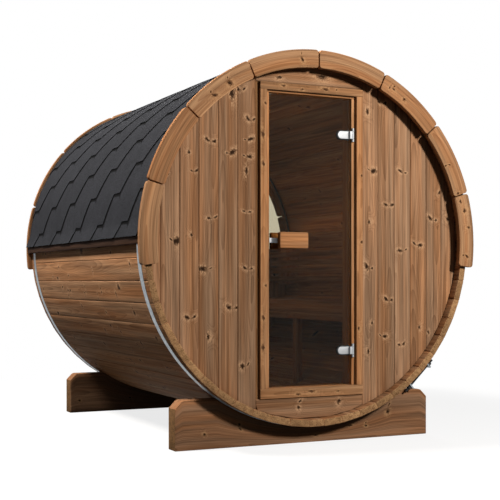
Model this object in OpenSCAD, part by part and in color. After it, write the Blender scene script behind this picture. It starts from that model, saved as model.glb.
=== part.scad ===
// Barrel sauna: a horizontal barrel of tapered staves on two cradles, with a
// plank front wall and glass door, a half-moon rear window, a shingled roof
// and a side bench. Millimetres, +Z up, the door faces -Y.

/* [Barrel] */
// Radius over the outer corners of the staves
barrel_r = 1000; // [800:10:1300]
// Length of the staves along Y
barrel_len = 2120; // [1400:10:3200]
// Height of the barrel's underside above the ground
under_z = 97; // [40:1:300]
// Thickness of a stave
stave_t = 38; // [28:1:60]
// Number of full-width staves, an even number
stave_count = 52; // [36:2:72]
// Seam left between two neighbouring staves
stave_gap = 1.2; // [0.6:0.1:3]
// Angle taken by the narrow closing stave at the bottom, degrees
closing_angle = 5.34; // [3:0.01:8]

/* [Steel bands] */
// Width of a band
band_w = 44; // [30:1:80]
// Thickness of a band
band_t = 2; // [1:0.5:4]
// Distance from a stave end to the middle of its band
band_inset = 72; // [45:1:150]
// Angle below horizontal of the upper tension lug, degrees
lug_upper_angle = 42; // [30:1:60]
// Angle below horizontal of the lower tension lug, degrees
lug_lower_angle = 51; // [40:1:70]
// Thickness of a tension lug
lug_t = 8; // [5:1:14]
// Width of a tension lug along the barrel
lug_w = 30; // [20:1:60]
// Height of a tension lug beyond the staves
lug_h = 62; // [30:1:80]
// Diameter of the tension rod
rod_d = 12; // [8:1:16]
// Radial play of the tension rod in its lugs
rod_play = 0.5; // [0.2:0.1:2]
// Height of the tension rod's middle beyond the staves
rod_h = 42; // [20:1:60]
// Gap between a lug and its nut at the rod
nut_gap = 3; // [2:0.5:8]
// Width of a nut across its corners
nut_d = 28; // [18:1:32]
// Height of a nut
nut_h = 14; // [8:1:20]
// Length of rod past each lug
rod_end = 45; // [20:1:90]

/* [Cradles] */
// Length of a cradle across the barrel
cradle_len = 1572; // [1200:1:2000]
// Height of a cradle at its ends
cradle_h = 260; // [200:1:320]
// Thickness of a cradle along Y
cradle_t = 92; // [45:1:140]
// Distance from a stave end to the outer face of its cradle
cradle_inset = 98; // [97:1:400]
// Height of the chamfer at a cradle's upper corners
cradle_chamfer = 42; // [0:1:90]

/* [Trim ring] */
// Distance the trim boards reach inside the staves
trim_inset = 30; // [5:1:60]
// Distance the trim boards reach beyond the staves
trim_proud = 30; // [20:1:60]
// Thickness of the trim boards
trim_t = 28; // [18:1:45]
// Number of trim boards at each end
trim_count = 8; // [6:2:12]
// Angle taken by one trim board and its gap, degrees
trim_angle = 24.45; // [15:0.05:30]
// Gap between two trim boards
trim_gap = 6; // [1:0.5:12]

/* [Roof] */
// Thickness of the shingle skin
roof_t = 5; // [3:0.5:10]
// Height of an eave batten
batten_h = 38; // [25:1:60]
// Thickness of an eave batten
batten_t = 26; // [15:1:40]
// Height of the batten's upper edge above the barrel axis
batten_top = 12; // [0:1:40]
// Height over which the shingles flare out above a batten
roof_flare = 70; // [40:1:120]

/* [Front wall] */
// Thickness of the wall boards
wall_t = 42; // [28:1:60]
// Recess of an end wall behind the stave ends
wall_recess = 50; // [20:1:150]
// Play between an end wall's edge and the staves
wall_play = 0.5; // [0.5:0.5:3]
// Visible width of the left door post beside the casing
post_reveal = 23; // [10:1:40]

/* [Doorway] */
// Width over the door casing
casing_w = 639; // [560:1:800]
// Height over the door casing
casing_h = 1693; // [1400:1:1720]
// Distance of the casing's lower edge below the barrel axis
sill_drop = 843; // [700:1:900]
// Face width of the side casings
casing_face = 40; // [30:1:80]
// Face height of the head casing
head_face = 40; // [30:1:80]
// Face height of the sill casing
sill_face = 53; // [30:1:80]
// Distance the casing stands proud of the boards
casing_proud = 8; // [0:1:15]
// Thickness of the casing
casing_t = 20; // [16:1:32]
// Step of the side linings inside the casing
jamb_step = 22; // [6:1:30]
// Step of the head lining inside the casing
head_step = 12; // [6:1:20]
// Thickness of the jamb lining
jamb_t = 26; // [18:1:40]
// Depth of the jamb lining
jamb_depth = 100; // [30:1:120]

/* [Glass door] */
// Thickness of the door glass
glass_t = 8; // [6:1:10]
// Clearance between the glass and the jamb lining
glass_gap = 6; // [5:0.5:10]
// Recess of the glass behind the front of the casing
glass_recess = 33; // [30:1:50]
// Distance of the upper hinge below the casing's upper edge
hinge_upper_drop = 254; // [150:1:400]
// Distance of the lower hinge above the casing's lower edge
hinge_lower_rise = 245; // [150:1:400]
// Length of a hinge clamp on the glass
clamp_w = 89; // [60:1:110]
// Height of a hinge clamp
clamp_h = 42; // [30:1:60]
// Thickness of each clamp cheek
clamp_t = 9; // [5:0.5:12]
// Distance of the hinge pin in front of the jamb lining
pin_stand = 8; // [7:0.5:14]
// Distance of the hinge pin past the glass edge
pin_offset = 11.5; // [0:0.5:16]
// Width of the arm between a clamp and its knuckle
arm_w = 19; // [14:1:30]
// Thickness of a clamp's arm at the pin
arm_t = 6; // [4:0.5:10]
// Height of a hinge bracket on the jamb
bracket_h = 75; // [60:1:110]
// Thickness of a bracket's foot on the jamb
bracket_t = 3; // [2:0.5:5]
// Gap between a bracket's foot and the side casing
bracket_gap = 1; // [0.5:0.5:3]
// Diameter of the hinge pins
pin_d = 6; // [5:0.5:8]
// Diametral clearance of a knuckle on its pin
pin_play = 0.2; // [0.1:0.05:0.5]
// Outer diameter of the hinge knuckles
knuckle_d = 12; // [10:0.5:14]
// Axial clearance at each end of a knuckle
knuckle_play = 1; // [0.5:0.5:2]

/* [Door handle] */
// Length of a handle block
handle_w = 174; // [120:1:240]
// Height of a handle block
handle_h = 88; // [60:1:120]
// Thickness of a handle block
handle_t = 28; // [18:1:40]
// Stand-off of a handle block from the glass
handle_gap = 34; // [20:1:50]
// Height of the handle's middle above the casing's lower edge
handle_rise = 848; // [600:1:1100]
// Distance of the handle block from the glass's free edge
handle_edge = 35; // [20:1:100]
// Diameter of the handle spacers
spacer_d = 22; // [12:1:30]
// Distance of a spacer's middle from the end of its handle block
spacer_inset = 35; // [20:1:60]
// Length of the latch plate
latch_w = 50; // [30:1:80]
// Height of the latch plate
latch_h = 26; // [16:1:40]
// Thickness of the latch plate
latch_t = 4; // [2:0.5:6]

/* [Rear wall] */
// Distance of the window rail's lower edge below the barrel axis
rail_drop = 31; // [-100:1:300]
// Height of the window rail
rail_h = 44; // [30:1:80]
// Thickness of the rear window glass
window_t = 8; // [5:1:12]

/* [Bench] */
// Distance of the bench seat below the barrel axis
seat_drop = 332; // [250:1:450]
// Distance of the bench front from the barrel's middle
bench_x = 388; // [250:1:500]
// Height of the bench apron
apron_h = 92; // [60:1:140]
// Thickness of the bench boards
board_t = 27; // [18:1:40]
// Width of the bench leg posts
leg_w = 45; // [35:1:70]
// Number of seat slats
seat_slats = 4; // [3:1:6]
// Gap between seat slats
slat_gap = 12; // [6:1:25]
// Height of the backrest's upper edge above the barrel axis
back_rise = 108; // [0:1:300]
// Height of the backrest's top board
back_board_h = 92; // [60:1:120]
// Height of a backrest slat
back_slat_h = 38; // [25:1:60]
// Pitch of the backrest slats
back_pitch = 58; // [40:1:90]
// Number of backrest slats under the top board
back_slats = 4; // [2:1:6]
// Distance of the backrest face from the staves at axis height
back_inset = 190; // [120:1:300]
// Height of a bearer under the seat slats
bearer_h = 70; // [40:1:100]
// Distance the apron stands out in front of the seat slats
apron_out = 8; // [0:1:20]
// Clearance of the bench ends from the end walls
bench_gap = 12; // [5:1:80]
// Distance of the outer legs from the bench ends
leg_inset = 60; // [20:1:200]
// Distance of the middle leg's front from the barrel's middle
leg_mid = -90; // [-300:5:300]
// Clearance of the last seat slat from the staves
seat_gap = 6; // [3:1:20]
// Length of a backrest post below the last slat
post_tail = 20; // [5:1:60]
// Drop of a backrest post's end below the top board
post_drop = 8; // [2:1:30]

/* [Hidden] */
// Seam between wooden pieces that meet
seam = 0.5;
// Reach of a cutting shape past what it cuts, and of one joined shape into another
cut = 1;
round_fn = 180;
roof_fn = 360;
pin_fn = 48;
axis_z = barrel_r + under_z;
y0 = -barrel_len / 2;
y1 = barrel_len / 2;
// Staves on one side, and how many of them lie below each group's end
half_n = stave_count / 2;
bottom_n = round(half_n * 0.115);
lower_n = round(half_n * 0.385);
side_n = round(half_n * 0.615);
upper_n = round(half_n * 0.846);
stave_angle = (360 - closing_angle) / stave_count;
stave_half = stave_angle / 2;
stave_r_in = barrel_r - stave_t;
// Radius that clears the flat inner faces of the staves
bore_r = stave_r_in * cos(stave_half);
wall_r = bore_r - wall_play;
band_r = barrel_r + band_t;
rod_r = barrel_r + rod_h;
trim_r_in = stave_r_in - trim_inset;
trim_r_out = barrel_r + trim_proud;
wall_y = y0 + wall_recess;
casing_y = wall_y - casing_proud;
jamb_y = casing_y + casing_t;
door_x = casing_w / 2;
open_x = door_x - casing_face;
jamb_x = open_x - jamb_step;
post_x = jamb_x + jamb_t;
board_x = door_x + post_reveal;
casing_z = axis_z - sill_drop;
casing_top = casing_z + casing_h;
open_z0 = casing_z + sill_face;
open_z1 = casing_top - head_face;
jamb_z1 = open_z1 - head_step;
glass_x = jamb_x - glass_gap;
glass_z0 = open_z0 + glass_gap;
glass_z1 = jamb_z1 - glass_gap;
glass_y = casing_y + glass_recess;
pin_x = glass_x + pin_offset;
pin_y = jamb_y - pin_stand;
hinge_upper_z = casing_top - hinge_upper_drop;
hinge_lower_z = casing_z + hinge_lower_rise;
handle_z = casing_z + handle_rise;
knuckle_r = knuckle_d / 2;
handle_x0 = handle_edge - glass_x;
rear_wall_y = y1 - wall_recess - wall_t;
window_y = rear_wall_y + (wall_t - window_t) / 2;
rail_z = axis_z - rail_drop;
rail_top = rail_z + rail_h;
seat_z = axis_z - seat_drop;
back_top_z = axis_z + back_rise;
back_x = bore_r - back_inset;
bench_y0 = wall_y + wall_t + bench_gap;
bench_y1 = rear_wall_y - bench_gap;
seat_x1 = sqrt(pow(bore_r, 2) - pow(axis_z - seat_z + board_t, 2)) - seat_gap;
slat_w = (seat_x1 - bench_x - (seat_slats - 1) * slat_gap) / seat_slats;
leg_y = [bench_y0 + leg_inset, leg_mid, bench_y1 - leg_inset - leg_w];

// Extrudes an XZ profile along Y from ya to yb
module along_y(ya, yb) {
    translate([0, yb, 0])
        rotate([90, 0, 0])
            linear_extrude(height = yb - ya)
                children();
}

// Disc about the barrel axis from ya to yb
module disc(r, ya, yb) {
    translate([0, yb, axis_z])
        rotate([90, 0, 0])
            cylinder(r = r, h = yb - ya, $fn = round_fn);
}

// Ring about the barrel axis from ya to yb
module ring(ri, ro, ya, yb) {
    difference() {
        disc(ro, ya, yb);
        disc(ri, ya - cut, yb + cut);
    }
}

// Box given by its two corners
module box(a, b) {
    translate(a)
        cube([b[0] - a[0], b[1] - a[1], b[2] - a[2]]);
}

// Tapered stave with its middle at an angle, half as wide as half_angle
module stave(angle, half_angle) {
    xo = barrel_r * cos(half_angle);
    xi = stave_r_in * cos(half_angle);
    side = stave_gap / 2 / cos(half_angle);
    yo = xo * tan(half_angle) - side;
    yi = xi * tan(half_angle) - side;
    along_y(y0, y1)
        translate([0, axis_z])
            rotate(angle)
                polygon([[xi, -yi], [xo, -yo], [xo, yo], [xi, yi]]);
}

// Staves from first to last, counted up from the closing stave
module stave_run(first, last) {
    for (i = [first : last])
        stave(closing_angle / 2 - 90 + (i + 0.5) * stave_angle, stave_half);
}

module staves_bottom() {
    color("#8b6243") {
        stave(-90, closing_angle / 2);
        stave_run(0, bottom_n - 1);
        mirror([1, 0, 0])
            stave_run(0, bottom_n - 1);
    }
}

module staves_lower_right() {
    color("#8b6243")
        stave_run(bottom_n, lower_n - 1);
}

module staves_lower_left() {
    mirror([1, 0, 0])
        staves_lower_right();
}

module staves_side_right() {
    color("#8b6243")
        stave_run(lower_n, side_n - 1);
}

module staves_side_left() {
    mirror([1, 0, 0])
        staves_side_right();
}

module staves_upper_right() {
    color("#8b6243")
        stave_run(side_n, upper_n - 1);
}

module staves_upper_left() {
    mirror([1, 0, 0])
        staves_upper_right();
}

module staves_crown() {
    color("#8b6243") {
        stave_run(upper_n, half_n - 1);
        mirror([1, 0, 0])
            stave_run(upper_n, half_n - 1);
    }
}

// Plank with a concave seat for the barrel, its front face at y
module cradle(y) {
    hx = cradle_len / 2;
    c = cradle_chamfer;
    color("#7f5a3c")
        difference() {
            along_y(y, y + cradle_t)
                polygon([[-hx, 0], [hx, 0], [hx, cradle_h - c], [hx - c, cradle_h],
                         [c - hx, cradle_h], [-hx, cradle_h - c]]);
            disc(barrel_r, y - cut, y + cradle_t + cut);
        }
}

module cradle_front() {
    cradle(y0 + cradle_inset);
}

module cradle_rear() {
    cradle(y1 - cradle_inset - cradle_t);
}

// Lug that stands on the band at an angle below horizontal
module lug(y, angle) {
    translate([0, 0, axis_z])
        rotate([0, angle, 0])
            box([barrel_r, y - lug_w / 2, -lug_t / 2],
                [barrel_r + lug_h, y + lug_w / 2, lug_t / 2]);
}

// Frame at the middle of the tension rod: X outward, Z along the rod
module at_rod(y) {
    translate([0, 0, axis_z])
        rotate([0, (lug_upper_angle + lug_lower_angle) / 2, 0])
            translate([rod_r, y, 0])
                children();
}

// Open steel loop with a lug on each end, about a band middle at y
module band(y) {
    mid = (lug_upper_angle + lug_lower_angle) / 2;
    spread = (lug_lower_angle - lug_upper_angle) / 2;
    reach = barrel_r + lug_h;
    color("#9aa5ae")
        difference() {
            union() {
                difference() {
                    ring(barrel_r, band_r, y - band_w / 2, y + band_w / 2);
                    translate([0, 0, axis_z])
                        rotate([0, mid, 0])
                            along_y(y - band_w, y + band_w)
                                polygon([[0, 0], [reach, -reach * tan(spread)],
                                         [reach, reach * tan(spread)]]);
                }
                lug(y, lug_upper_angle);
                lug(y, lug_lower_angle);
            }
            at_rod(y)
                cylinder(d = rod_d + 2 * rod_play, h = barrel_r, center = true, $fn = pin_fn);
        }
}

module band_front() {
    band(y0 + band_inset);
}

module band_rear() {
    band(y1 - band_inset);
}

// Threaded rod with a hexagon nut outside each lug
module tensioner(y) {
    span = rod_r * tan((lug_lower_angle - lug_upper_angle) / 2);
    nut_z = span + lug_t / 2 + nut_gap;
    color("#4a4d50")
        at_rod(y) {
            cylinder(d = rod_d, h = 2 * (span + rod_end), center = true, $fn = pin_fn);
            translate([0, 0, nut_z])
                cylinder(d = nut_d, h = nut_h, $fn = 6);
            translate([0, 0, -nut_z - nut_h])
                cylinder(d = nut_d, h = nut_h, $fn = 6);
        }
}

module tensioner_front() {
    tensioner(y0 + band_inset);
}

module tensioner_rear() {
    tensioner(y1 - band_inset);
}

// Curved trim boards on the stave ends, symmetric about the top
module trim_ring(ya, yb) {
    rm = (trim_r_in + trim_r_out) / 2;
    h = trim_angle / 2 - trim_gap / 2 / rm * 180 / PI;
    reach = 2 * trim_r_out;
    color("#b58a62")
        for (i = [0 : trim_count - 1])
            intersection() {
                ring(trim_r_in, trim_r_out, ya, yb);
                translate([0, 0, axis_z])
                    rotate([0, -90 - (i - (trim_count - 1) / 2) * trim_angle, 0])
                        along_y(ya - cut, yb + cut)
                            polygon([[0, 0], [reach * cos(h), -reach * sin(h)],
                                     [reach * cos(h), reach * sin(h)]]);
            }
}

module trim_ring_front() {
    trim_ring(y0 - trim_t, y0);
}

module trim_ring_rear() {
    trim_ring(y1, y1 + trim_t);
}

// Right half of the shingle skin: an arc that flares over the eave batten
module roof_half() {
    xe = band_r + batten_t;
    ze = axis_z + batten_top;
    zf = ze + roof_flare;
    xf = sqrt(pow(band_r, 2) - pow(zf - axis_z, 2));
    along_y(y0, y1) {
        difference() {
            translate([0, axis_z])
                circle(r = band_r + roof_t, $fn = roof_fn);
            translate([0, axis_z])
                circle(r = band_r, $fn = roof_fn);
            translate([-2 * barrel_r, axis_z - 2 * barrel_r])
                square([2 * barrel_r + seam, 4 * barrel_r]);
            translate([0, zf - 4 * barrel_r])
                square([2 * barrel_r, 4 * barrel_r]);
        }
        polygon([[xe - roof_t, ze], [xe, ze], [xf + roof_t, zf + cut], [xf, zf + cut]]);
    }
}

module roof_shingles_right() {
    color("#3a3a3b")
        roof_half();
}

module roof_shingles_left() {
    mirror([1, 0, 0])
        roof_shingles_right();
}

module eave_batten() {
    box([band_r, y0, axis_z + batten_top - batten_h],
        [band_r + batten_t, y1, axis_z + batten_top]);
}

module eave_battens() {
    color("#4b3425") {
        eave_batten();
        mirror([1, 0, 0])
            eave_batten();
    }
}

// Front boards of the wall from x outwards
module front_wall_side(x) {
    color("#8f6e50")
        intersection() {
            disc(wall_r, wall_y, wall_y + wall_t);
            box([x, wall_y - cut, 0], [barrel_r, wall_y + wall_t + cut, 2 * axis_z]);
        }
}

module front_wall_right() {
    front_wall_side(door_x + seam);
}

module front_wall_left() {
    mirror([1, 0, 0])
        front_wall_side(board_x);
}

// Level boards between za and zb, lapped over the door posts
module level_boards(za, zb) {
    intersection() {
        disc(wall_r, wall_y, wall_y + wall_t);
        union() {
            box([seam - board_x, wall_y - cut, za], [door_x, jamb_y, zb]);
            box([seam - post_x, jamb_y - cut, za],
                [post_x - seam, wall_y + wall_t + cut, zb]);
        }
    }
}

module front_wall_over_door() {
    color("#8f6e50")
        level_boards(casing_top + seam, 2 * axis_z);
}

module front_wall_under_door() {
    color("#8f6e50")
        level_boards(0, casing_z - seam);
}

// Door post between the lining and x
module door_post(x) {
    intersection() {
        disc(wall_r, jamb_y, wall_y + wall_t);
        box([post_x, jamb_y - cut, 0], [x, wall_y + wall_t + cut, 2 * axis_z]);
    }
}

module door_posts() {
    color("#5c4230") {
        door_post(door_x);
        mirror([1, 0, 0])
            door_post(board_x - seam);
    }
}

module casing_right() {
    color("#b08257")
        box([open_x, casing_y, open_z0 + seam], [door_x, jamb_y, open_z1 - seam]);
}

module casing_left() {
    mirror([1, 0, 0])
        casing_right();
}

module casing_head() {
    color("#b08257")
        box([-door_x, casing_y, open_z1], [door_x, jamb_y, casing_top]);
}

module casing_sill() {
    color("#b08257")
        box([-door_x, casing_y, casing_z], [door_x, jamb_y, open_z0]);
}

// Lining boards of the doorway: two sides, a head and a sill
module jamb_lining() {
    yb = jamb_y + jamb_depth;
    color("#b08257") {
        box([jamb_x, jamb_y, open_z0 + seam], [post_x, yb, jamb_z1 - seam]);
        box([-post_x, jamb_y, open_z0 + seam], [-jamb_x, yb, jamb_z1 - seam]);
        box([-post_x, jamb_y, jamb_z1], [post_x, yb, casing_top]);
        box([-post_x, jamb_y, casing_z], [post_x, yb, open_z0]);
    }
}

// Jamb bracket with an ear at each end and the pin between them
module hinge_bracket(z) {
    h = bracket_h / 2;
    ear = clamp_h / 2 + knuckle_play;
    color("#d8d8d8")
        translate([pin_x, 0, z]) {
            for (za = [-h, ear]) {
                translate([0, pin_y, za])
                    cylinder(d = knuckle_d, h = h - ear, $fn = pin_fn);
                box([-knuckle_r, pin_y, za], [knuckle_r, jamb_y, za + h - ear]);
                box([-knuckle_r, jamb_y - bracket_t, za],
                    [open_x - pin_x - bracket_gap, jamb_y, za + h - ear]);
            }
            translate([0, pin_y, -h])
                cylinder(d = pin_d, h = bracket_h, $fn = pin_fn);
        }
}

module hinge_bracket_upper() {
    hinge_bracket(hinge_upper_z);
}

module hinge_bracket_lower() {
    hinge_bracket(hinge_lower_z);
}

module door_glass() {
    color("#2b2622")
        box([-glass_x, glass_y, glass_z0], [glass_x, glass_y + glass_t, glass_z1]);
}

// Cheek of a clamp with its rounded end towards the middle of the glass
module clamp_cheek(ya) {
    r = clamp_h / 2;
    x0 = pin_x - clamp_w;
    translate([x0 + r, ya + clamp_t, 0])
        rotate([90, 0, 0])
            cylinder(r = r, h = clamp_t, $fn = pin_fn);
    box([x0 + r, ya, -r], [glass_x, ya + clamp_t, r]);
}

// Two cheeks on the glass, joined past its edge to a knuckle on the pin
module hinge_clamp(z) {
    r = clamp_h / 2;
    color("#d8d8d8")
        translate([0, 0, z])
            difference() {
                union() {
                    clamp_cheek(glass_y - clamp_t);
                    clamp_cheek(glass_y + glass_t);
                    box([pin_x - arm_w, pin_y - arm_t / 2, -r], [pin_x, pin_y + arm_t / 2, r]);
                    box([pin_x - arm_w, pin_y, -r], [glass_x, glass_y - cut, r]);
                    translate([pin_x, pin_y, -r])
                        cylinder(d = knuckle_d, h = clamp_h, $fn = pin_fn);
                }
                translate([pin_x, pin_y, -clamp_h])
                    cylinder(d = pin_d + pin_play, h = 2 * clamp_h, $fn = pin_fn);
            }
}

module hinge_clamp_upper() {
    hinge_clamp(hinge_upper_z);
}

module hinge_clamp_lower() {
    hinge_clamp(hinge_lower_z);
}

// Wooden block held off the glass by two spacers, dir -1 outside, 1 inside
module handle(face_y, dir) {
    z0 = handle_z - handle_h / 2;
    ya = dir > 0 ? face_y + handle_gap : face_y - handle_gap - handle_t;
    ys = dir > 0 ? face_y : face_y - handle_gap - cut;
    color("#b58a62") {
        box([handle_x0, ya, z0], [handle_x0 + handle_w, ya + handle_t, z0 + handle_h]);
        for (x = [handle_x0 + spacer_inset, handle_x0 + handle_w - spacer_inset])
            translate([x, ys + handle_gap + cut, handle_z])
                rotate([90, 0, 0])
                    cylinder(d = spacer_d, h = handle_gap + cut, $fn = pin_fn);
    }
}

module handle_outer() {
    handle(glass_y, -1);
}

module handle_inner() {
    handle(glass_y + glass_t, 1);
}

module latch_plate() {
    color("#c8c8c8")
        box([-glass_x, glass_y - latch_t, handle_z - latch_h / 2],
            [latch_w - glass_x, glass_y, handle_z + latch_h / 2]);
}

module rear_wall_boards() {
    color("#8f6e50")
        intersection() {
            disc(wall_r, rear_wall_y, rear_wall_y + wall_t);
            box([-barrel_r, rear_wall_y - cut, 0], [barrel_r, rear_wall_y + wall_t + cut, rail_z]);
        }
}

module rear_window_rail() {
    color("#8f6e50")
        intersection() {
            disc(wall_r, rear_wall_y, rear_wall_y + wall_t);
            box([-barrel_r, rear_wall_y - cut, rail_z],
                [barrel_r, rear_wall_y + wall_t + cut, rail_top]);
        }
}

module rear_window_glass() {
    color("#d5cdb8")
        intersection() {
            disc(wall_r, window_y, window_y + window_t);
            box([-barrel_r, window_y - cut, rail_top],
                [barrel_r, window_y + window_t + cut, 2 * axis_z]);
        }
}

module bench_seat() {
    color("#7a4e31")
        for (i = [0 : seat_slats - 1])
            translate([bench_x + i * (slat_w + slat_gap), 0, 0])
                box([0, bench_y0, seat_z - board_t], [slat_w, bench_y1, seat_z]);
}

module bench_apron() {
    color("#7a4e31")
        box([bench_x - apron_out, bench_y0, seat_z - board_t - apron_h],
            [bench_x - apron_out + board_t, bench_y1, seat_z - board_t]);
}

// Posts behind the apron, cut to the curve they stand on
module bench_legs() {
    xa = bench_x - apron_out + board_t + seam;
    color("#7a4e31")
        for (y = leg_y)
            intersection() {
                box([xa, y, 0], [xa + leg_w, y + leg_w, seat_z - board_t]);
                disc(bore_r - seam, y - cut, y + leg_w + cut);
            }
}

// Level rails from the posts to the staves, under the seat slats
module bench_bearers() {
    xa = bench_x - apron_out + board_t + leg_w + 2 * seam;
    zb = seat_z - board_t;
    color("#7a4e31")
        for (y = leg_y)
            intersection() {
                box([xa, y, zb - bearer_h], [barrel_r, y + leg_w, zb]);
                disc(bore_r - seam, y - cut, y + leg_w + cut);
            }
}

// Upright posts on the staves with a top board and slats across them
module bench_backrest() {
    zt = back_top_z;
    z_low = zt - back_board_h - back_slats * back_pitch - post_tail;
    color("#7a4e31") {
        box([back_x, bench_y0, zt - back_board_h], [back_x + board_t, bench_y1, zt]);
        for (i = [1 : back_slats])
            translate([back_x, bench_y0, zt - back_board_h - i * back_pitch])
                cube([board_t, bench_y1 - bench_y0, back_slat_h]);
        for (y = leg_y)
            intersection() {
                box([back_x + board_t + seam, y, z_low], [barrel_r, y + leg_w, zt - post_drop]);
                disc(bore_r - seam, y - cut, y + leg_w + cut);
            }
    }
}

cradle_front();
cradle_rear();
staves_bottom();
staves_lower_left();
staves_lower_right();
staves_side_left();
staves_side_right();
staves_upper_left();
staves_upper_right();
staves_crown();
band_front();
band_rear();
tensioner_front();
tensioner_rear();
trim_ring_front();
trim_ring_rear();
roof_shingles_left();
roof_shingles_right();
eave_battens();
front_wall_left();
front_wall_right();
front_wall_over_door();
front_wall_under_door();
door_posts();
casing_left();
casing_right();
casing_head();
casing_sill();
jamb_lining();
hinge_bracket_upper();
hinge_bracket_lower();
door_glass();
hinge_clamp_upper();
hinge_clamp_lower();
handle_outer();
handle_inner();
latch_plate();
rear_wall_boards();
rear_window_rail();
rear_window_glass();
bench_seat();
bench_apron();
bench_legs();
bench_bearers();
bench_backrest();
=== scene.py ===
import math

import bpy
import numpy as np
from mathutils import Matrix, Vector


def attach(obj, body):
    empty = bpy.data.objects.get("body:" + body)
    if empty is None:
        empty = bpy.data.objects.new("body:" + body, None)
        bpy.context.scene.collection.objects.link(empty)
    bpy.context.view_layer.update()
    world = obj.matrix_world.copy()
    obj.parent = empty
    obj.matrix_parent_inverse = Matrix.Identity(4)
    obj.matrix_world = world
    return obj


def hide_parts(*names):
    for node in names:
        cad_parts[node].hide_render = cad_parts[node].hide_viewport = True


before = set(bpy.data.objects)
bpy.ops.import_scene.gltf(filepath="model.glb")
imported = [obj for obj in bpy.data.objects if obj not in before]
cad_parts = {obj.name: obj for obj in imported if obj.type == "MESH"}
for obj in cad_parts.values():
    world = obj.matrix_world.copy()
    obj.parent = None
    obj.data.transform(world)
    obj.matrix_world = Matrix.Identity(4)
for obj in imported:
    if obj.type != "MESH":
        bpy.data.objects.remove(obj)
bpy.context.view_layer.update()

# ---------------------------------------------------------------- cradles
# Two thick planks of heat-treated pine stand on edge and carry the barrel in a
# sawn hollow. Their upper corners are chamfered and all edges are eased.
M = 0.001
AXIS_Z = 1.097
BARREL_R = 1.000
BARREL_Y = 1.060
rng = np.random.default_rng(7)


def linear(hex_code):
    """An sRGB hex colour as linear RGBA: each channel through the sRGB curve."""
    c = np.array([int(hex_code[i:i + 2], 16) for i in (1, 3, 5)]) / 255
    c = np.where(c <= 0.04045, c / 12.92, ((c + 0.055) / 1.055) ** 2.4)
    return (*c.tolist(), 1.0)


def add(tree, kind, inputs=None, **settings):
    """Adds a node with its settings, and fills its inputs with values or links."""
    n = tree.nodes.new(kind)
    for key, value in settings.items():
        setattr(n, key, value)
    for key, value in (inputs or {}).items():
        if isinstance(value, bpy.types.NodeSocket):
            tree.links.new(value, n.inputs[key])
        else:
            n.inputs[key].default_value = value
    return n.outputs


def new_material(name):
    """An empty material and its node tree."""
    m = bpy.data.materials.new(name)
    m.use_nodes = True
    m.node_tree.nodes.clear()
    return m, m.node_tree


RING_MM, FIBRE_MM = 6.5, 2.6
FAR = 50.0  # knot coordinates where no knot is near


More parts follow.
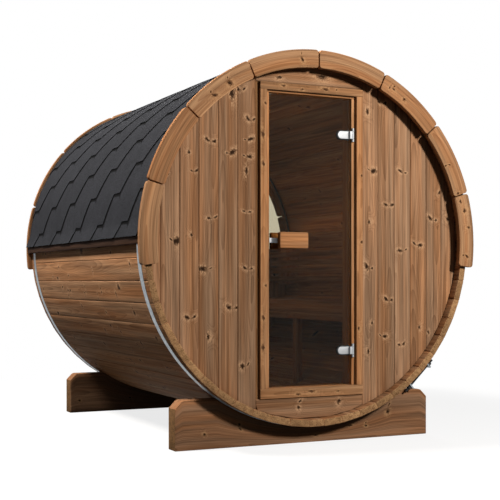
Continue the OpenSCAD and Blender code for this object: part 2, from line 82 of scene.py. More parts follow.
def timber(name, early, late, knot, halo_colour="#B89068", rough=0.56, streak=0.45,
           tone_depth=0.30):
    """Planed softwood. Growth rings are circles about the pith, cut by the board's
    faces: fract(distance to pith / ring width). Knots push the rings aside."""
    m, t = new_material(name)
    grain = add(t, "ShaderNodeAttribute", attribute_name="grain")["Vector"]
    tone = add(t, "ShaderNodeAttribute", attribute_name="tone")["Fac"]
    knot_at = add(t, "ShaderNodeAttribute", attribute_name="knot")["Vector"]
    # Each layer of noise is drawn out along the board: its coordinates are stretched first
    layers = []
    for stretch, detail, coarse in (
            ((160, 160, 90), 2.0, 0.5), ((38, 38, 1.4), 3.0, 0.5),
            ((1000 / FIBRE_MM, 1000 / FIBRE_MM, 7), 2.0, 0.5), ((7, 7, 0.9), 1.0, 0.5),
            ((90, 90, 1.5), 3.0, 0.65), ((16, 16, 0.7), 2.0, 0.5)):
        at = add(t, "ShaderNodeVectorMath", {0: grain, 1: stretch}, operation="MULTIPLY")[0]
        layers.append(add(t, "ShaderNodeTexNoise", {"Vector": at, "Scale": 1.0, "Detail": detail,
                                                    "Roughness": coarse})["Fac"])
    rag, streaks, fibre, broad, fine, blush = layers
    # The pith wanders along the board, and a point's ring is its distance from there
    along = add(t, "ShaderNodeVectorMath", {0: grain, 1: (0, 0, 1.3)}, operation="MULTIPLY")[0]
    wander = add(t, "ShaderNodeTexNoise", {"Vector": along, "Scale": 1.0, "Detail": 1.0})["Color"]
    for how, by in (("SUBTRACT", (0.5, 0.5, 0.5)), ("MULTIPLY", (0.10, 0.06, 0)),
                    ("ADD", grain), ("MULTIPLY", (1, 1, 0))):
        wander = add(t, "ShaderNodeVectorMath", {0: wander, 1: by}, operation=how)[0]
    from_pith = add(t, "ShaderNodeVectorMath", {0: wander}, operation="LENGTH")["Value"]
    # Knots: one oval, or a pair where the third number is over one; its fraction
    # varies how far apart they are and which is the larger
    across, along, kind = add(t, "ShaderNodeSeparateXYZ", {0: knot_at})
    pair = add(t, "ShaderNodeMath", {0: kind, 1: 1.0}, operation="GREATER_THAN")[0]
    vary = add(t, "ShaderNodeMath", {0: kind}, operation="FRACT")[0]
    apart = add(t, "ShaderNodeMath", {0: vary, 1: 0.9, 2: 1.6}, operation="MULTIPLY_ADD")[0]
    apart = add(t, "ShaderNodeMath", {0: pair, 1: apart}, operation="MULTIPLY")[0]
    side = add(t, "ShaderNodeMath", {0: across}, operation="ABSOLUTE")[0]
    sign = add(t, "ShaderNodeMath", {0: across}, operation="SIGN")[0]
    skew = add(t, "ShaderNodeMath", {0: vary, 1: 0.5}, operation="SUBTRACT")[0]
    skew = add(t, "ShaderNodeMath", {0: skew, 1: sign}, operation="MULTIPLY")[0]
    grow = add(t, "ShaderNodeMath", {0: skew, 1: 1.5, 2: 1.0}, operation="MULTIPLY_ADD")[0]
    u = add(t, "ShaderNodeMath", {0: side, 1: apart}, operation="SUBTRACT")[0]
    lift = add(t, "ShaderNodeMath", {0: side, 1: pair}, operation="MULTIPLY")[0]
    v = add(t, "ShaderNodeMath", {0: lift, 1: -0.42, 2: along}, operation="MULTIPLY_ADD")[0]
    tilt = add(t, "ShaderNodeMath", {0: vary, 1: 7.3}, operation="MULTIPLY")[0]
    tilt = add(t, "ShaderNodeMath", {0: tilt}, operation="FRACT")[0]
    tilt = add(t, "ShaderNodeMath", {0: tilt, 1: 0.5}, operation="SUBTRACT")[0]
    tilt = add(t, "ShaderNodeMath", {0: tilt, 1: across}, operation="MULTIPLY")[0]
    v = add(t, "ShaderNodeMath", {0: tilt, 1: 0.9, 2: v}, operation="MULTIPLY_ADD")[0]
    oval = add(t, "ShaderNodeCombineXYZ", {0: u, 1: v})[0]
    oval = add(t, "ShaderNodeVectorMath", {0: oval, 3: grow}, operation="SCALE")[0]
    oval = add(t, "ShaderNodeVectorMath", {0: oval}, operation="LENGTH")["Value"]
    from_knot = add(t, "ShaderNodeMath", {0: rag, 1: 1.5, 2: oval}, operation="MULTIPLY_ADD")[0]
    from_knot = add(t, "ShaderNodeMath", {0: from_knot, 1: 0.75}, operation="SUBTRACT")[0]
    # Four zones about a knot, by distance: pushed rings, pale halo, brown ring, dark heart
    swirl, halo, brown, heart = (
        add(t, "ShaderNodeMapRange", {0: from_knot, 1: near, 2: far, 3: most, 4: 0.0},
            interpolation_type="SMOOTHSTEP")[0]
        for near, far, most in ((0.7, 6.0, 0.020), (1.1, 4.0, 0.8), (0.9, 1.7, 0.75),
                                (0.5, 1.05, 0.9)))
    ring = add(t, "ShaderNodeMath", {0: from_pith, 1: swirl}, operation="ADD")[0]
    ring = add(t, "ShaderNodeMath", {0: ring, 1: 1000 / RING_MM}, operation="MULTIPLY")[0]
    ring = add(t, "ShaderNodeMath", {0: ring}, operation="FRACT")[0]
    ring = add(t, "ShaderNodeMath", {0: ring, 1: 1.8}, operation="POWER")[0]
    dark = add(t, "ShaderNodeMath", {0: ring, 1: 0.42}, operation="MULTIPLY")[0]
    streaks = add(t, "ShaderNodeMapRange", {0: streaks, 1: 0.35, 2: 0.68, 3: 0.0, 4: streak})[0]
    dark = add(t, "ShaderNodeMath", {0: dark, 1: streaks}, operation="ADD", use_clamp=True)[0]
    colour = add(t, "ShaderNodeMix", {0: dark, 6: linear(early), 7: linear(late)},
                 data_type="RGBA")[2]
    # Shade: fibre, fine and broad bands and the board's own tone, multiplied
    shade = 1.0
    for value, low, high, darkest, lightest in (
            (fibre, 0.3, 0.7, 0.88, 1.10), (fine, 0.34, 0.66, 0.70, 1.28),
            (broad, 0.3, 0.7, 0.87, 1.12), (tone, 0.0, 1.0, 1 - tone_depth / 2, 1 + tone_depth / 2)):
        value = add(t, "ShaderNodeMapRange", {0: value, 1: low, 2: high, 3: darkest,
                                              4: lightest})[0]
        shade = add(t, "ShaderNodeMath", {0: shade, 1: value}, operation="MULTIPLY")[0]
    colour = add(t, "ShaderNodeVectorMath", {0: colour, 3: shade}, operation="SCALE")[0]
    # Bands where the heat has turned the wood redder or left it greyer
    greyer, redder = (add(t, "ShaderNodeVectorMath", {0: colour, 1: by}, operation="MULTIPLY")[0]
                      for by in ((0.95, 1.02, 1.14), (1.04, 0.93, 0.85)))
    blush = add(t, "ShaderNodeMapRange", {0: blush, 1: 0.38, 2: 0.62, 3: 0.0, 4: 1.0})[0]
    colour = add(t, "ShaderNodeMix", {0: blush, 6: greyer, 7: redder}, data_type="RGBA")[2]
    # A pair is the two ends of one branch cut lengthwise: a brown bow joins them.
    # Some knots trail a dark resin streak along the board
    bow = add(t, "ShaderNodeMath", {0: v, 1: 0.25}, operation="ADD")[0]
    bow = add(t, "ShaderNodeMath", {0: bow}, operation="ABSOLUTE")[0]
    trail = add(t, "ShaderNodeMath", {0: along}, operation="ABSOLUTE")[0]
    bow, span, tail, trail, some, patchy = (
        add(t, "ShaderNodeMapRange", {0: value, 1: low, 2: high, 3: at_low, 4: at_high})[0]
        for value, low, high, at_low, at_high in (
            (bow, 0.1, 0.55, 1.0, 0.0), (u, 0.0, 1.6, 1.0, 0.0), (side, 0.1, 0.6, 1.0, 0.0),
            (trail, 0.8, 7.0, 1.0, 0.0), (vary, 0.5, 0.7, 0.0, 1.1), (rag, 0.42, 0.60, 0.1, 1.0)))
    for by in (span, pair, rag):
        bow = add(t, "ShaderNodeMath", {0: bow, 1: by}, operation="MULTIPLY")[0]
    for by in (trail, some, rag):
        tail = add(t, "ShaderNodeMath", {0: tail, 1: by}, operation="MULTIPLY")[0]
    marks = add(t, "ShaderNodeMath", {0: bow, 1: tail}, operation="MAXIMUM")[0]
    # Knot colours: pale swirled wood about a red-brown ring and a dark heart
    halo = add(t, "ShaderNodeMath", {0: halo, 1: patchy}, operation="MULTIPLY")[0]
    red_brown = add(t, "ShaderNodeMix", {0: 0.55, 6: linear(late), 7: linear(knot)},
                    data_type="RGBA")[2]
    for share, over in ((halo, linear(halo_colour)), (marks, red_brown), (brown, red_brown),
                        (heart, linear(knot))):
        colour = add(t, "ShaderNodeMix", {0: share, 6: colour, 7: over}, data_type="RGBA")[2]
    height = add(t, "ShaderNodeMath", {0: ring, 1: 0.5, 2: fibre}, operation="MULTIPLY_ADD")[0]
    height = add(t, "ShaderNodeMath", {0: heart, 1: -0.5, 2: height}, operation="MULTIPLY_ADD")[0]
    normal = add(t, "ShaderNodeBump", {"Height": height, "Strength": 0.4, "Distance": 0.0012})[0]
    rough = add(t, "ShaderNodeMapRange", {0: dark, 1: 0.0, 2: 1.0, 3: rough, 4: rough + 0.14})[0]
    wood = add(t, "ShaderNodeBsdfPrincipled", {"Base Color": colour, "Roughness": rough,
                                               "Specular IOR Level": 0.01, "Normal": normal})[0]
    add(t, "ShaderNodeOutputMaterial", {"Surface": wood})
    return m


def end_grain(name, pale, dark):
    """Sawn end of softwood: growth rings as arcs, open pores as dark specks."""
    m, t = new_material(name)
    grain = add(t, "ShaderNodeAttribute", attribute_name="grain")["Vector"]
    tone = add(t, "ShaderNodeAttribute", attribute_name="tone")["Fac"]
    ring = add(t, "ShaderNodeVectorMath", {0: grain, 1: (1, 1, 0)}, operation="MULTIPLY")[0]
    ring = add(t, "ShaderNodeVectorMath", {0: ring}, operation="LENGTH")["Value"]
    ring = add(t, "ShaderNodeMath", {0: ring, 1: 1000 / RING_MM}, operation="MULTIPLY")[0]
    ring = add(t, "ShaderNodeMath", {0: ring}, operation="FRACT")[0]
    speck, blot = (add(t, "ShaderNodeTexNoise", {"Vector": grain, "Scale": size,
                                                 "Detail": 2.0})["Fac"] for size in (190.0, 45.0))
    pores, blot, level = (
        add(t, "ShaderNodeMapRange", {0: value, 1: low, 2: high, 3: at_low, 4: at_high})[0]
        for value, low, high, at_low, at_high in (
            (speck, 0.42, 0.72, 0.0, 0.65), (blot, 0.40, 0.75, 0.0, 0.4),
            (tone, 0.0, 1.0, 0.76, 1.12)))
    share = add(t, "ShaderNodeMath", {0: ring, 1: 0.25, 2: pores}, operation="MULTIPLY_ADD")[0]
    share = add(t, "ShaderNodeMath", {0: share, 1: blot}, operation="ADD", use_clamp=True)[0]
    colour = add(t, "ShaderNodeMix", {0: share, 6: linear(pale), 7: linear(dark)},
                 data_type="RGBA")[2]
    colour = add(t, "ShaderNodeVectorMath", {0: colour, 3: level}, operation="SCALE")[0]
    normal = add(t, "ShaderNodeBump", {"Height": speck, "Strength": 0.4, "Distance": 0.001})[0]
    wood = add(t, "ShaderNodeBsdfPrincipled", {"Base Color": colour, "Roughness": 0.78,
                                               "Specular IOR Level": 0.04, "Normal": normal})[0]
    add(t, "ShaderNodeOutputMaterial", {"Surface": wood})
    return m


def rounded(front_w, back_w, t, front_r, back_r, columns):
    """Closed outline as (across, depth), depth 0 at the front: a rectangle, or a wedge with
    a narrower back, whose corners are quarter circles."""
    f, b, at = front_w / 2 - front_r, back_w / 2 - back_r, np.radians([0, 30, 60, 90])
    pts = [(x, 0.0) for x in np.linspace(-f, f, columns + 1)]
    pts += [(f + front_r * math.sin(a), front_r - front_r * math.cos(a)) for a in at[1:]]
    pts += [(b + back_r * math.cos(a), t - back_r + back_r * math.sin(a)) for a in at]
    pts += [(x, t) for x in np.linspace(b, -b, columns + 1)[1:-1]]
    pts += [(-b - back_r * math.sin(a), t - back_r + back_r * math.cos(a)) for a in at]
    pts += [(-f - front_r * math.cos(a), front_r - front_r * math.sin(a)) for a in at[:-1]]
    return np.array(pts)


def section(w, t, ease=0.003, columns=4, front=None):
    """A board's cross-section with eased edges; the front may be rounder than the back."""
    return rounded(w, w, t, front or ease, ease, columns)


def standing(x, y):
    """Place of an upright board: across is X, depth goes back from y, along is height."""
    return lambda a, d, l: np.stack([x + a, y + d, l], -1)


def lying(y, z):
    """Place of a level board: along is X, depth goes back from y, across is height."""
    return lambda a, d, l: np.stack([l, y + d, z + a], -1)


def scatter_knots(length, width, per_metre, start=0.0):
    """Knots at random along a board: (along, across, half length, half width, kind)."""
    n = rng.poisson(length * per_metre)
    return [(start + rng.uniform(0.03, 0.97) * length, rng.uniform(-0.32, 0.32) * width,
             rng.uniform(4, 8) * M, rng.uniform(5, 11) * M,
             0.5 if rng.random() < 0.45 else 1.5) for _ in range(n)]


def outward(V, quads, tris):
    """Faces turned outwards: six times a closed mesh's volume is the sum of the triple
    products of its triangles, and where that is negative every face is turned round."""
    V = V - V.mean(0)
    q, p = V[quads], V[tris]
    six = sum((np.cross(f[:, a], f[:, b]) * f[:, 0]).sum()
              for f, a, b in ((q, 1, 2), (q, 2, 3), (p, 1, 2)))
    return (quads, tris) if six > 0 else (quads[:, ::-1], tris[:, ::-1])


def rings(m, n):
    """Quads round m rings of n points: each joins two neighbours to the next ring."""
    j, i = np.meshgrid(np.arange(m - 1), np.arange(n), indexing="ij")
    k = (i + 1) % n
    return np.stack([j * n + i, j * n + k, (j + 1) * n + k, (j + 1) * n + i], -1).reshape(-1, 4)


def tube(V, m, n):
    """Faces of m rings of n points; two more points close the ends with fans."""
    i = np.arange(n)
    k = (i + 1) % n
    low = np.stack([k, i, np.full(n, m * n)], -1)
    high = np.stack([(m - 1) * n + i, (m - 1) * n + k, np.full(n, m * n + 1)], -1)
    return outward(V, rings(m, n), np.concatenate([low, high]))


def plank(outline, ends, place, knots=(), step=0.03, ease=0.0015, ease_a=0.0, front_only=False):
    """One board: its outline carried along its length, point = place(across, depth, along).
    ends gives where each outline point starts and stops; the last rows at each end shrink
    by a quarter circle, ease * (1 - sin), so that the end's edges are eased."""
    a0, d0 = outline.T
    n = len(a0)
    start, stop = (np.broadcast_to(e, n).astype(float) for e in ends)
    big = max(ease, ease_a)
    # How far in from an end each easing row lies, and how far it shrinks across and in depth
    ph = np.radians([0, 25, 50, 75, 90] if ease_a else [0, 45, 90])
    off = big * (1 - np.cos(ph))
    sa = (ease_a or ease) * (1 - np.sin(ph))
    sd = ease * (1 - np.sin(np.minimum(ph * (big / ease), np.pi / 2))) if ease else ph * 0
    length = float(np.median(stop - start))
    rows = max(1, int(length / step))
    inner = np.linspace(big, length - big, rows + 1)[1:-1]
    offs = np.concatenate([off, inner, length - off[::-1]])
    sa = np.concatenate([sa, inner * 0, sa[::-1]])
    sd = np.concatenate([sd, inner * 0, sd[::-1]])
    f = offs / length
    ac, half_w = (a0.max() + a0.min()) / 2, (a0.max() - a0.min()) / 2
    thick = d0.max() - d0.min()
    A = ac + (a0 - ac)[None, :] * (1 - sa / half_w)[:, None]
    if front_only:
        D = d0.max() - (d0.max() - d0)[None, :] * (1 - sd / thick)[:, None]
    else:
        dc = (d0.max() + d0.min()) / 2
        D = dc + (d0 - dc)[None, :] * (1 - 2 * sd / thick)[:, None]
    L = start[None, :] + f[:, None] * (stop - start)[None, :]
    # Two more points close the ends
    A2 = np.append(A.ravel(), [A[0].mean(), A[-1].mean()])
    D2 = np.append(D.ravel(), [D[0].mean(), D[-1].mean()])
    L2 = np.append(L.ravel(), [L[0].mean(), L[-1].mean()])
    V = place(A2, D2, L2)
    quads, tris = tube(V, len(f), n)
    # The board's own wood: pith behind or before the face, and a random stretch of trunk
    pith = (rng.uniform(-0.45, 0.45) * half_w * 2, rng.choice([-1, 1]) * rng.uniform(0.03, 0.09))
    grain = np.stack([A2 - pith[0], D2 - pith[1], L2 + rng.uniform(0, 60)], -1)
    tone = rng.random()
    corners = np.concatenate([quads.ravel(), tris.ravel()])
    near = np.full((len(corners), 3), FAR)
    if len(knots):
        kn = np.array(knots, float)
        kn[:, 2:4] *= np.where(kn[:, 4:] > 1, (0.85, 0.70), (1.15, 0.95))
        kn[:, 4] = np.floor(kn[:, 4]) + rng.uniform(0.08, 0.92, len(kn))
        fa = np.concatenate([A2[quads].mean(1), A2[tris].mean(1)])
        fl = np.concatenate([L2[quads].mean(1), L2[tris].mean(1)])
        dist = np.hypot((fa[:, None] - kn[:, 1]), (fl[:, None] - kn[:, 0]) * 0.8)
        pick = dist.argmin(1)
        per = np.concatenate([np.repeat(pick[:len(quads)], 4), np.repeat(pick[len(quads):], 3)])
        g = kn[per]
        near = np.stack([(A2[corners] - g[:, 1]) / g[:, 3], (L2[corners] - g[:, 0]) / g[:, 2],
                         g[:, 4]], -1)
    return dict(V=V, quads=quads, tris=tris, grain=grain, tone=np.full(len(V), tone),
                knot=near, end=np.concatenate([np.zeros(len(quads), int),
                                               np.ones(len(tris), int)]))


def build(name, boards, materials, body, replaces=()):
    """One piece from boards: their arrays are laid one after another in one mesh."""
    first = np.cumsum([0] + [len(b["V"]) for b in boards[:-1]])
    loops, totals = [], []
    for b, f in zip(boards, first):
        loops += [(b["quads"] + f).ravel(), (b["tris"] + f).ravel()]
        totals += [np.full(len(b["quads"]), 4), np.full(len(b["tris"]), 3)]
    loops, totals = np.concatenate(loops), np.concatenate(totals)
    V, grain, tone, knot, end = (np.concatenate([b[key] for b in boards])
                                 for key in ("V", "grain", "tone", "knot", "end"))
    mesh = bpy.data.meshes.new(name)
    mesh.vertices.add(len(V))
    mesh.loops.add(len(loops))
    mesh.polygons.add(len(totals))
    mesh.vertices.foreach_set("co", V.ravel())
    mesh.loops.foreach_set("vertex_index", loops)
    for key, data in (("loop_start", np.cumsum(totals) - totals), ("loop_total", totals),
                      ("material_index", end if len(materials) > 1 else totals * 0),
                      ("use_smooth", np.ones(len(totals), bool))):
        mesh.polygons.foreach_set(key, data)
    mesh.update(calc_edges=True)
    for key, kind, where, values, data in (("grain", "FLOAT_VECTOR", "POINT", "vector", grain),
                                           ("tone", "FLOAT", "POINT", "value", tone),
                                           ("knot", "FLOAT_VECTOR", "CORNER", "vector", knot)):
        mesh.attributes.new(key, kind, where).data.foreach_set(values, data.ravel())
    for mat in materials:
        mesh.materials.append(mat)
    mesh.set_sharp_from_angle(angle=math.radians(32))
    obj = bpy.data.objects.new(name, mesh)
    bpy.context.scene.collection.objects.link(obj)
    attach(obj, body)
    if replaces:
        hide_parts(*replaces)
    return obj


# Heat-treated pine, planed and left matt: mid brown, soft sheen, darker latewood
cradle_pine = timber("heat_treated_pine_cradle", "#8F6A4D", "#5A402D", "#20140D",
                     "#A07C58", rough=0.62, tone_depth=0.1)
pine_ends = end_grain("pine_end_grain_dark", "#7A5A3B", "#40301F")
CRADLE_LEN, CRADLE_H, CRADLE_T, CHAMFER = 1.572, 0.260, 0.092, 0.042
for which, face_y, knots in (
        ("front", -0.962, [(-0.42, 0.02, 8 * M, 11 * M, 1.5), (0.05, -0.03, 6 * M, 9 * M, 0.5),
                           (0.37, -0.01, 7 * M, 9 * M, 1.5), (0.52, 0.04, 8 * M, 12 * M, 1.5),
                           (0.27, 0.01, 5 * M, 6 * M, 0.5), (-0.62, -0.05, 6 * M, 7 * M, 0.5)]),
        ("rear", 0.870, scatter_knots(CRADLE_LEN, CRADLE_H, 3, -CRADLE_LEN / 2))):
    # Across is height here: each row of the plank is as tall as the hollow leaves it
    def stand(a, d, l, face_y=face_y):
        """Height above the ground = across * the room under the barrel and chamfers."""
        cut = AXIS_Z - np.sqrt(np.maximum(BARREL_R ** 2 - l ** 2, 0))
        slope = CRADLE_H - np.maximum(0, CHAMFER - (CRADLE_LEN / 2 - np.abs(l)))
        top = np.minimum(np.minimum(np.where(np.abs(l) < BARREL_R, cut, 9), CRADLE_H), slope)
        return np.stack([l, face_y + d, (a / CRADLE_H + 0.5) * top], -1)

    outline = section(CRADLE_H, CRADLE_T, 0.003, 8)
    b = plank(outline, (-CRADLE_LEN / 2, CRADLE_LEN / 2), stand, knots, step=0.012, ease=0.002)
    build("cradle_" + which + "_plank", [b], [cradle_pine, pine_ends], "barrel",
          ("cradle_" + which,))

# ---------------------------------------------------------------- staves
# Tapered boards of heat-treated pine lie side by side round the barrel, their
# long edges rounded, and a narrow closing stave is driven in at the bottom.
# Planed and left bare: warm brown, soft sheen, each board in its own tone
stave_pine = timber("heat_treated_pine_stave", "#A87D58", "#6B4A33", "#24160E", "#BE9672",
                    rough=0.55, tone_depth=0.34)
stave_ends = end_grain("pine_end_grain", "#AD875F", "#5C4029")
STAVE_T, GAP, EDGE_R, INNER_R = 0.038, 0.0001, 0.0050, 0.006
CLOSING, STAVES = 5.34, 52
STEP_DEG = (360 - CLOSING) / STAVES


def stave_outline(half_deg):
    """Wedge between two radial planes with rounded corners, flat outside and inside."""
    h = math.radians(half_deg)
    outer, inner = (2 * (r * math.sin(h) - GAP) for r in (BARREL_R, BARREL_R - STAVE_T))
    return rounded(outer, inner, STAVE_T, EDGE_R, INNER_R, 4)


def stave_place(deg):
    """Turns a board's own axes to its place on the barrel, at an angle above +X."""
    c, s = math.cos(math.radians(deg)), math.sin(math.radians(deg))
    flat = BARREL_R - 0.0004
    return lambda a, d, l: np.stack([c * (flat - d) - s * a, l,
                                     AXIS_Z + s * (flat - d) + c * a], -1)


wide, narrow = stave_outline(STEP_DEG / 2), stave_outline(CLOSING / 2)
staves = [plank(narrow, (-BARREL_Y, BARREL_Y), stave_place(-90), step=0.05)]
for side in (1, -1):
    for i in range(STAVES // 2):
        deg = CLOSING / 2 - 90 + (i + 0.5) * STEP_DEG
        turned = stave_place(deg if side > 0 else 180 - deg)
        staves.append(plank(wide, (-BARREL_Y, BARREL_Y), turned,
                            scatter_knots(2 * BARREL_Y, 0.11, 2.2, -BARREL_Y), step=0.05))
build("barrel_staves", staves, [stave_pine, stave_ends], "barrel",
      ("staves_bottom", "staves_lower_left", "staves_lower_right", "staves_side_left",
       "staves_side_right", "staves_upper_left", "staves_upper_right", "staves_crown"))

# ---------------------------------------------------------------- steel bands
# Galvanised steel strip pulled tight round the staves. Zinc gives a pale
# blue-grey surface with faint crystal patches and a dull shine.
zinc, t = new_material("galvanised_steel_strip")
where = add(t, "ShaderNodeTexCoord")["Object"]
spangle = add(t, "ShaderNodeTexVoronoi", {"Vector": where, "Scale": 1000 / 14})["Color"]
spangle = add(t, "ShaderNodeSeparateXYZ", {0: spangle})[0]
scuff = add(t, "ShaderNodeTexNoise", {"Vector": where, "Scale": 30.0, "Detail": 4.0})["Fac"]
scuff = add(t, "ShaderNodeMapRange", {0: scuff, 1: 0.3, 2: 0.7, 3: 0.34, 4: 0.52})[0]
colour = add(t, "ShaderNodeMix", {0: spangle, 6: linear("#7F878C"), 7: linear("#999FA4")},
             data_type="RGBA")[2]
strip = add(t, "ShaderNodeBsdfPrincipled", {"Base Color": colour, "Metallic": 0.85,
                                            "Roughness": scuff})[0]
add(t, "ShaderNodeOutputMaterial", {"Surface": strip})
for which in ("front", "rear"):
    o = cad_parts["band_" + which]
    o.data.materials.clear()
    o.data.materials.append(zinc)

# ---------------------------------------------------------------- tension rods
# A threaded rod with a nut and washer at each end draws each band's lugs
# together. Black oxide steel with a rolled thread.


def mottled(name, scale, detail, dark, light, rough, inputs):
    """Two near colours mixed by fine noise, and two roughnesses where a pair is given."""
    m, t = new_material(name)
    where = add(t, "ShaderNodeTexCoord")["Object"]
    haze = add(t, "ShaderNodeTexNoise", {"Vector": where, "Scale": scale, "Detail": detail})["Fac"]
    colour = add(t, "ShaderNodeMix", {0: haze, 6: linear(dark), 7: linear(light)},
                 data_type="RGBA")[2]
    if isinstance(rough, tuple):
        rough = add(t, "ShaderNodeMapRange", {0: haze, 1: 0.3, 2: 0.7, 3: rough[0],
                                              4: rough[1]})[0]
    bare = add(t, "ShaderNodeBsdfPrincipled", {"Base Color": colour, "Roughness": rough,
                                               **inputs})[0]
    add(t, "ShaderNodeOutputMaterial", {"Surface": bare})
    return m


# Black oxide: almost black, with a dull metal sheen
black_steel = mottled("black_oxide_steel_thread", 120.0, 3.0, "#0E0F10", "#26282A", 0.5,
                      {"Metallic": 0.5})
ROD_R, ROD_HALF, NUT_AT, NUT_H, NUT_AF = 0.006, 0.127, 0.089, 0.014, 0.0242
ROD_AXIS_R, WASHER_AT, LUG_DEG, BAND_Y = 1.042, 0.0862, -46.5, 0.988
PITCH, THREAD = 0.0030, 0.0011  # a real M12 pitch is 1.75 mm; drawn coarser to show


def lathe(radius, height, place, sides=32):
    """A turned shape: point = (r cos, r sin, h). The radius may vary round the axis too,
    as on a nut or a thread. Two more points close its ends."""
    r, h = np.array(radius, float), np.array(height, float)
    r = r if r.ndim == 2 else np.repeat(r[:, None], sides, 1)
    ang = np.arange(sides) * 2 * math.pi / sides
    H = np.repeat(h[:, None], sides, 1)
    A2 = np.append((r * np.cos(ang)).ravel(), [0, 0])
    B2 = np.append((r * np.sin(ang)).ravel(), [0, 0])
    H2 = np.append(H.ravel(), [h[0], h[-1]])
    V = place(A2, B2, H2)
    quads, tris = tube(V, len(h), sides)
    return dict(V=V, quads=quads, tris=tris, grain=np.stack([A2 + 0.03, B2 + 0.05, H2], -1),
                tone=np.full(len(V), 0.5), knot=np.full((quads.size + tris.size, 3), FAR),
                end=np.zeros(len(quads) + len(tris), int))


def hex_nut(at, place):
    """Hexagon radius = half the flats / cos(angle to the nearest flat), cut by a cone
    at both ends so that the corners are rounded off."""
    ang = np.arange(48) * 2 * math.pi / 48
    hexagon = NUT_AF / 2 / np.cos(np.mod(ang, math.pi / 3) - math.pi / 6)
    h = np.array([0, 0, 0.6, 1.2, 2, 12, 12.8, 13.4, 14, 14]) * M
    cone = NUT_AF / 2 - 0.0003 + np.minimum(h, NUT_H - h) * 1.6
    r = np.minimum(hexagon[None, :], cone[:, None])
    r[0], r[-1] = ROD_R, ROD_R
    return lathe(r, at + h, place, 48)


def rod_place(y):
    """Axis along the tangent of the barrel at the lugs, first axis along the radius."""
    c, s = math.cos(math.radians(LUG_DEG)), math.sin(math.radians(LUG_DEG))
    return lambda a, b, h: np.stack([c * (ROD_AXIS_R + a) - s * h, y + b,
                                     AXIS_Z + s * (ROD_AXIS_R + a) + c * h], -1)


for which, y in (("front", -BAND_Y), ("rear", BAND_Y)):
    h = np.arange(-ROD_HALF, ROD_HALF, PITCH / 6)
    ang = np.arange(20) / 20
    wave = np.abs(2 * np.mod(h[:, None] / PITCH - ang[None, :], 1) - 1)
    r = ROD_R - THREAD * wave
    r *= np.clip((ROD_HALF - np.abs(h)) / 0.0015, 0.55, 1)[:, None]
    parts = [lathe(r, h, rod_place(y), 20)]
    for end in (1, -1):
        parts.append(hex_nut(NUT_AT if end > 0 else -NUT_AT - NUT_H, rod_place(y)))
        parts.append(lathe([0.0062, 0.0160, 0.0165, 0.0165, 0.0160, 0.0062],
                           end * (WASHER_AT + np.array([0, 0, 0.4, 2.2, 2.6, 2.6]) * M),
                           rod_place(y)))
    build("tension_rod_" + which, parts, [black_steel], "barrel",
          ("tensioner_" + which,))

# ---------------------------------------------------------------- front wall
# Tongued and grooved boards of heat-treated pine, planed, with a V-joint at
# each edge. They stand upright beside the door and lie level over and under it.
# Planed and left bare: a shade darker than the staves, dark latewood lines
wall_pine = timber("heat_treated_pine_wall", "#9A7657", "#634631", "#22150D", "#BC9673",
                   rough=0.55, tone_depth=0.26)
WALL_Y, WALL_T, WALL_R, WALL_HALF = -1.010, 0.042, 0.9598, 0.9595
LEFT_EDGES = (-342.5, -450, -561, -674, -782, -887, -959.6)
RIGHT_EDGES = (320, 424, 534, 642, 751, 855, 959.6)
# Knots as (x, height, half height, half width) in millimetres, and one or a pair
WALL_KNOTS = (
    (-372, 1735, 9, 12, 1.5), (-390, 1630, 5, 13, 1.5), (-397, 1540, 6, 12, 1.5),
    (-395, 1468, 10, 6, 0.5), (-397, 1247, 5, 12, 1.5), (-388, 945, 7, 13, 1.5),
    (-405, 432, 9, 11, 1.5), (-430, 1890, 8, 12, 1.5), (-490, 1868, 13, 11, 0.5),
    (-497, 1553, 7, 13, 1.5), (-480, 738, 9, 15, 1.5), (-605, 1610, 8, 14, 1.5),
    (-597, 1210, 6, 13, 1.5), (-630, 943, 6, 14, 1.5), (-625, 595, 5, 6, 0.5),
    (-727, 1548, 6, 7, 0.5), (-700, 1450, 6, 10, 1.5), (-720, 690, 9, 14, 1.5),
    (-860, 1420, 7, 9, 1.5), (-815, 1088, 8, 13, 1.5), (-712, 1120, 4, 5, 0.5),
    (355, 1830, 12, 9, 0.5), (378, 1500, 6, 13, 1.5), (362, 1213, 5, 6, 0.5),
    (368, 953, 9, 11, 1.5), (387, 650, 6, 6, 0.5), (365, 490, 6, 6, 0.5),
    (452, 1880, 9, 13, 1.5), (498, 1308, 8, 16, 1.5), (497, 773, 9, 13, 1.5),
    (455, 572, 6, 12, 1.5), (592, 1498, 6, 12, 1.5), (592, 1055, 6, 13, 1.5),
    (582, 520, 8, 11, 1.5), (690, 1088, 9, 15, 1.5), (700, 620, 5, 6, 0.5),
    (800, 1233, 9, 13, 1.5), (765, 590, 6, 6, 0.5), (905, 1240, 7, 8, 0.5),
    (845, 1395, 8, 8, 0.5))


def joint_section(w, t, vee=0.0044, gap=0.0001, columns=4):
    """Board with a V at each long edge, front and back: face, slope, straight side."""
    h = w / 2 - gap
    xs = np.linspace(-h + vee, h - vee, columns + 1)
    pts = [(x, 0.0) for x in xs]
    pts += [(h - vee * 0.55, vee * 0.35), (h, vee), (h, t - vee), (h - vee, t)]
    pts += [(x, t) for x in xs[::-1][1:-1]]
    pts += [(-h + vee, t), (-h, t - vee), (-h, vee), (-h + vee * 0.55, vee * 0.35)]
    return np.array(pts)


def chord(x, r=WALL_R):
    """Half the height of the round wall at a distance x from its middle."""
    return np.sqrt(np.maximum(r ** 2 - x ** 2, 1e-6))


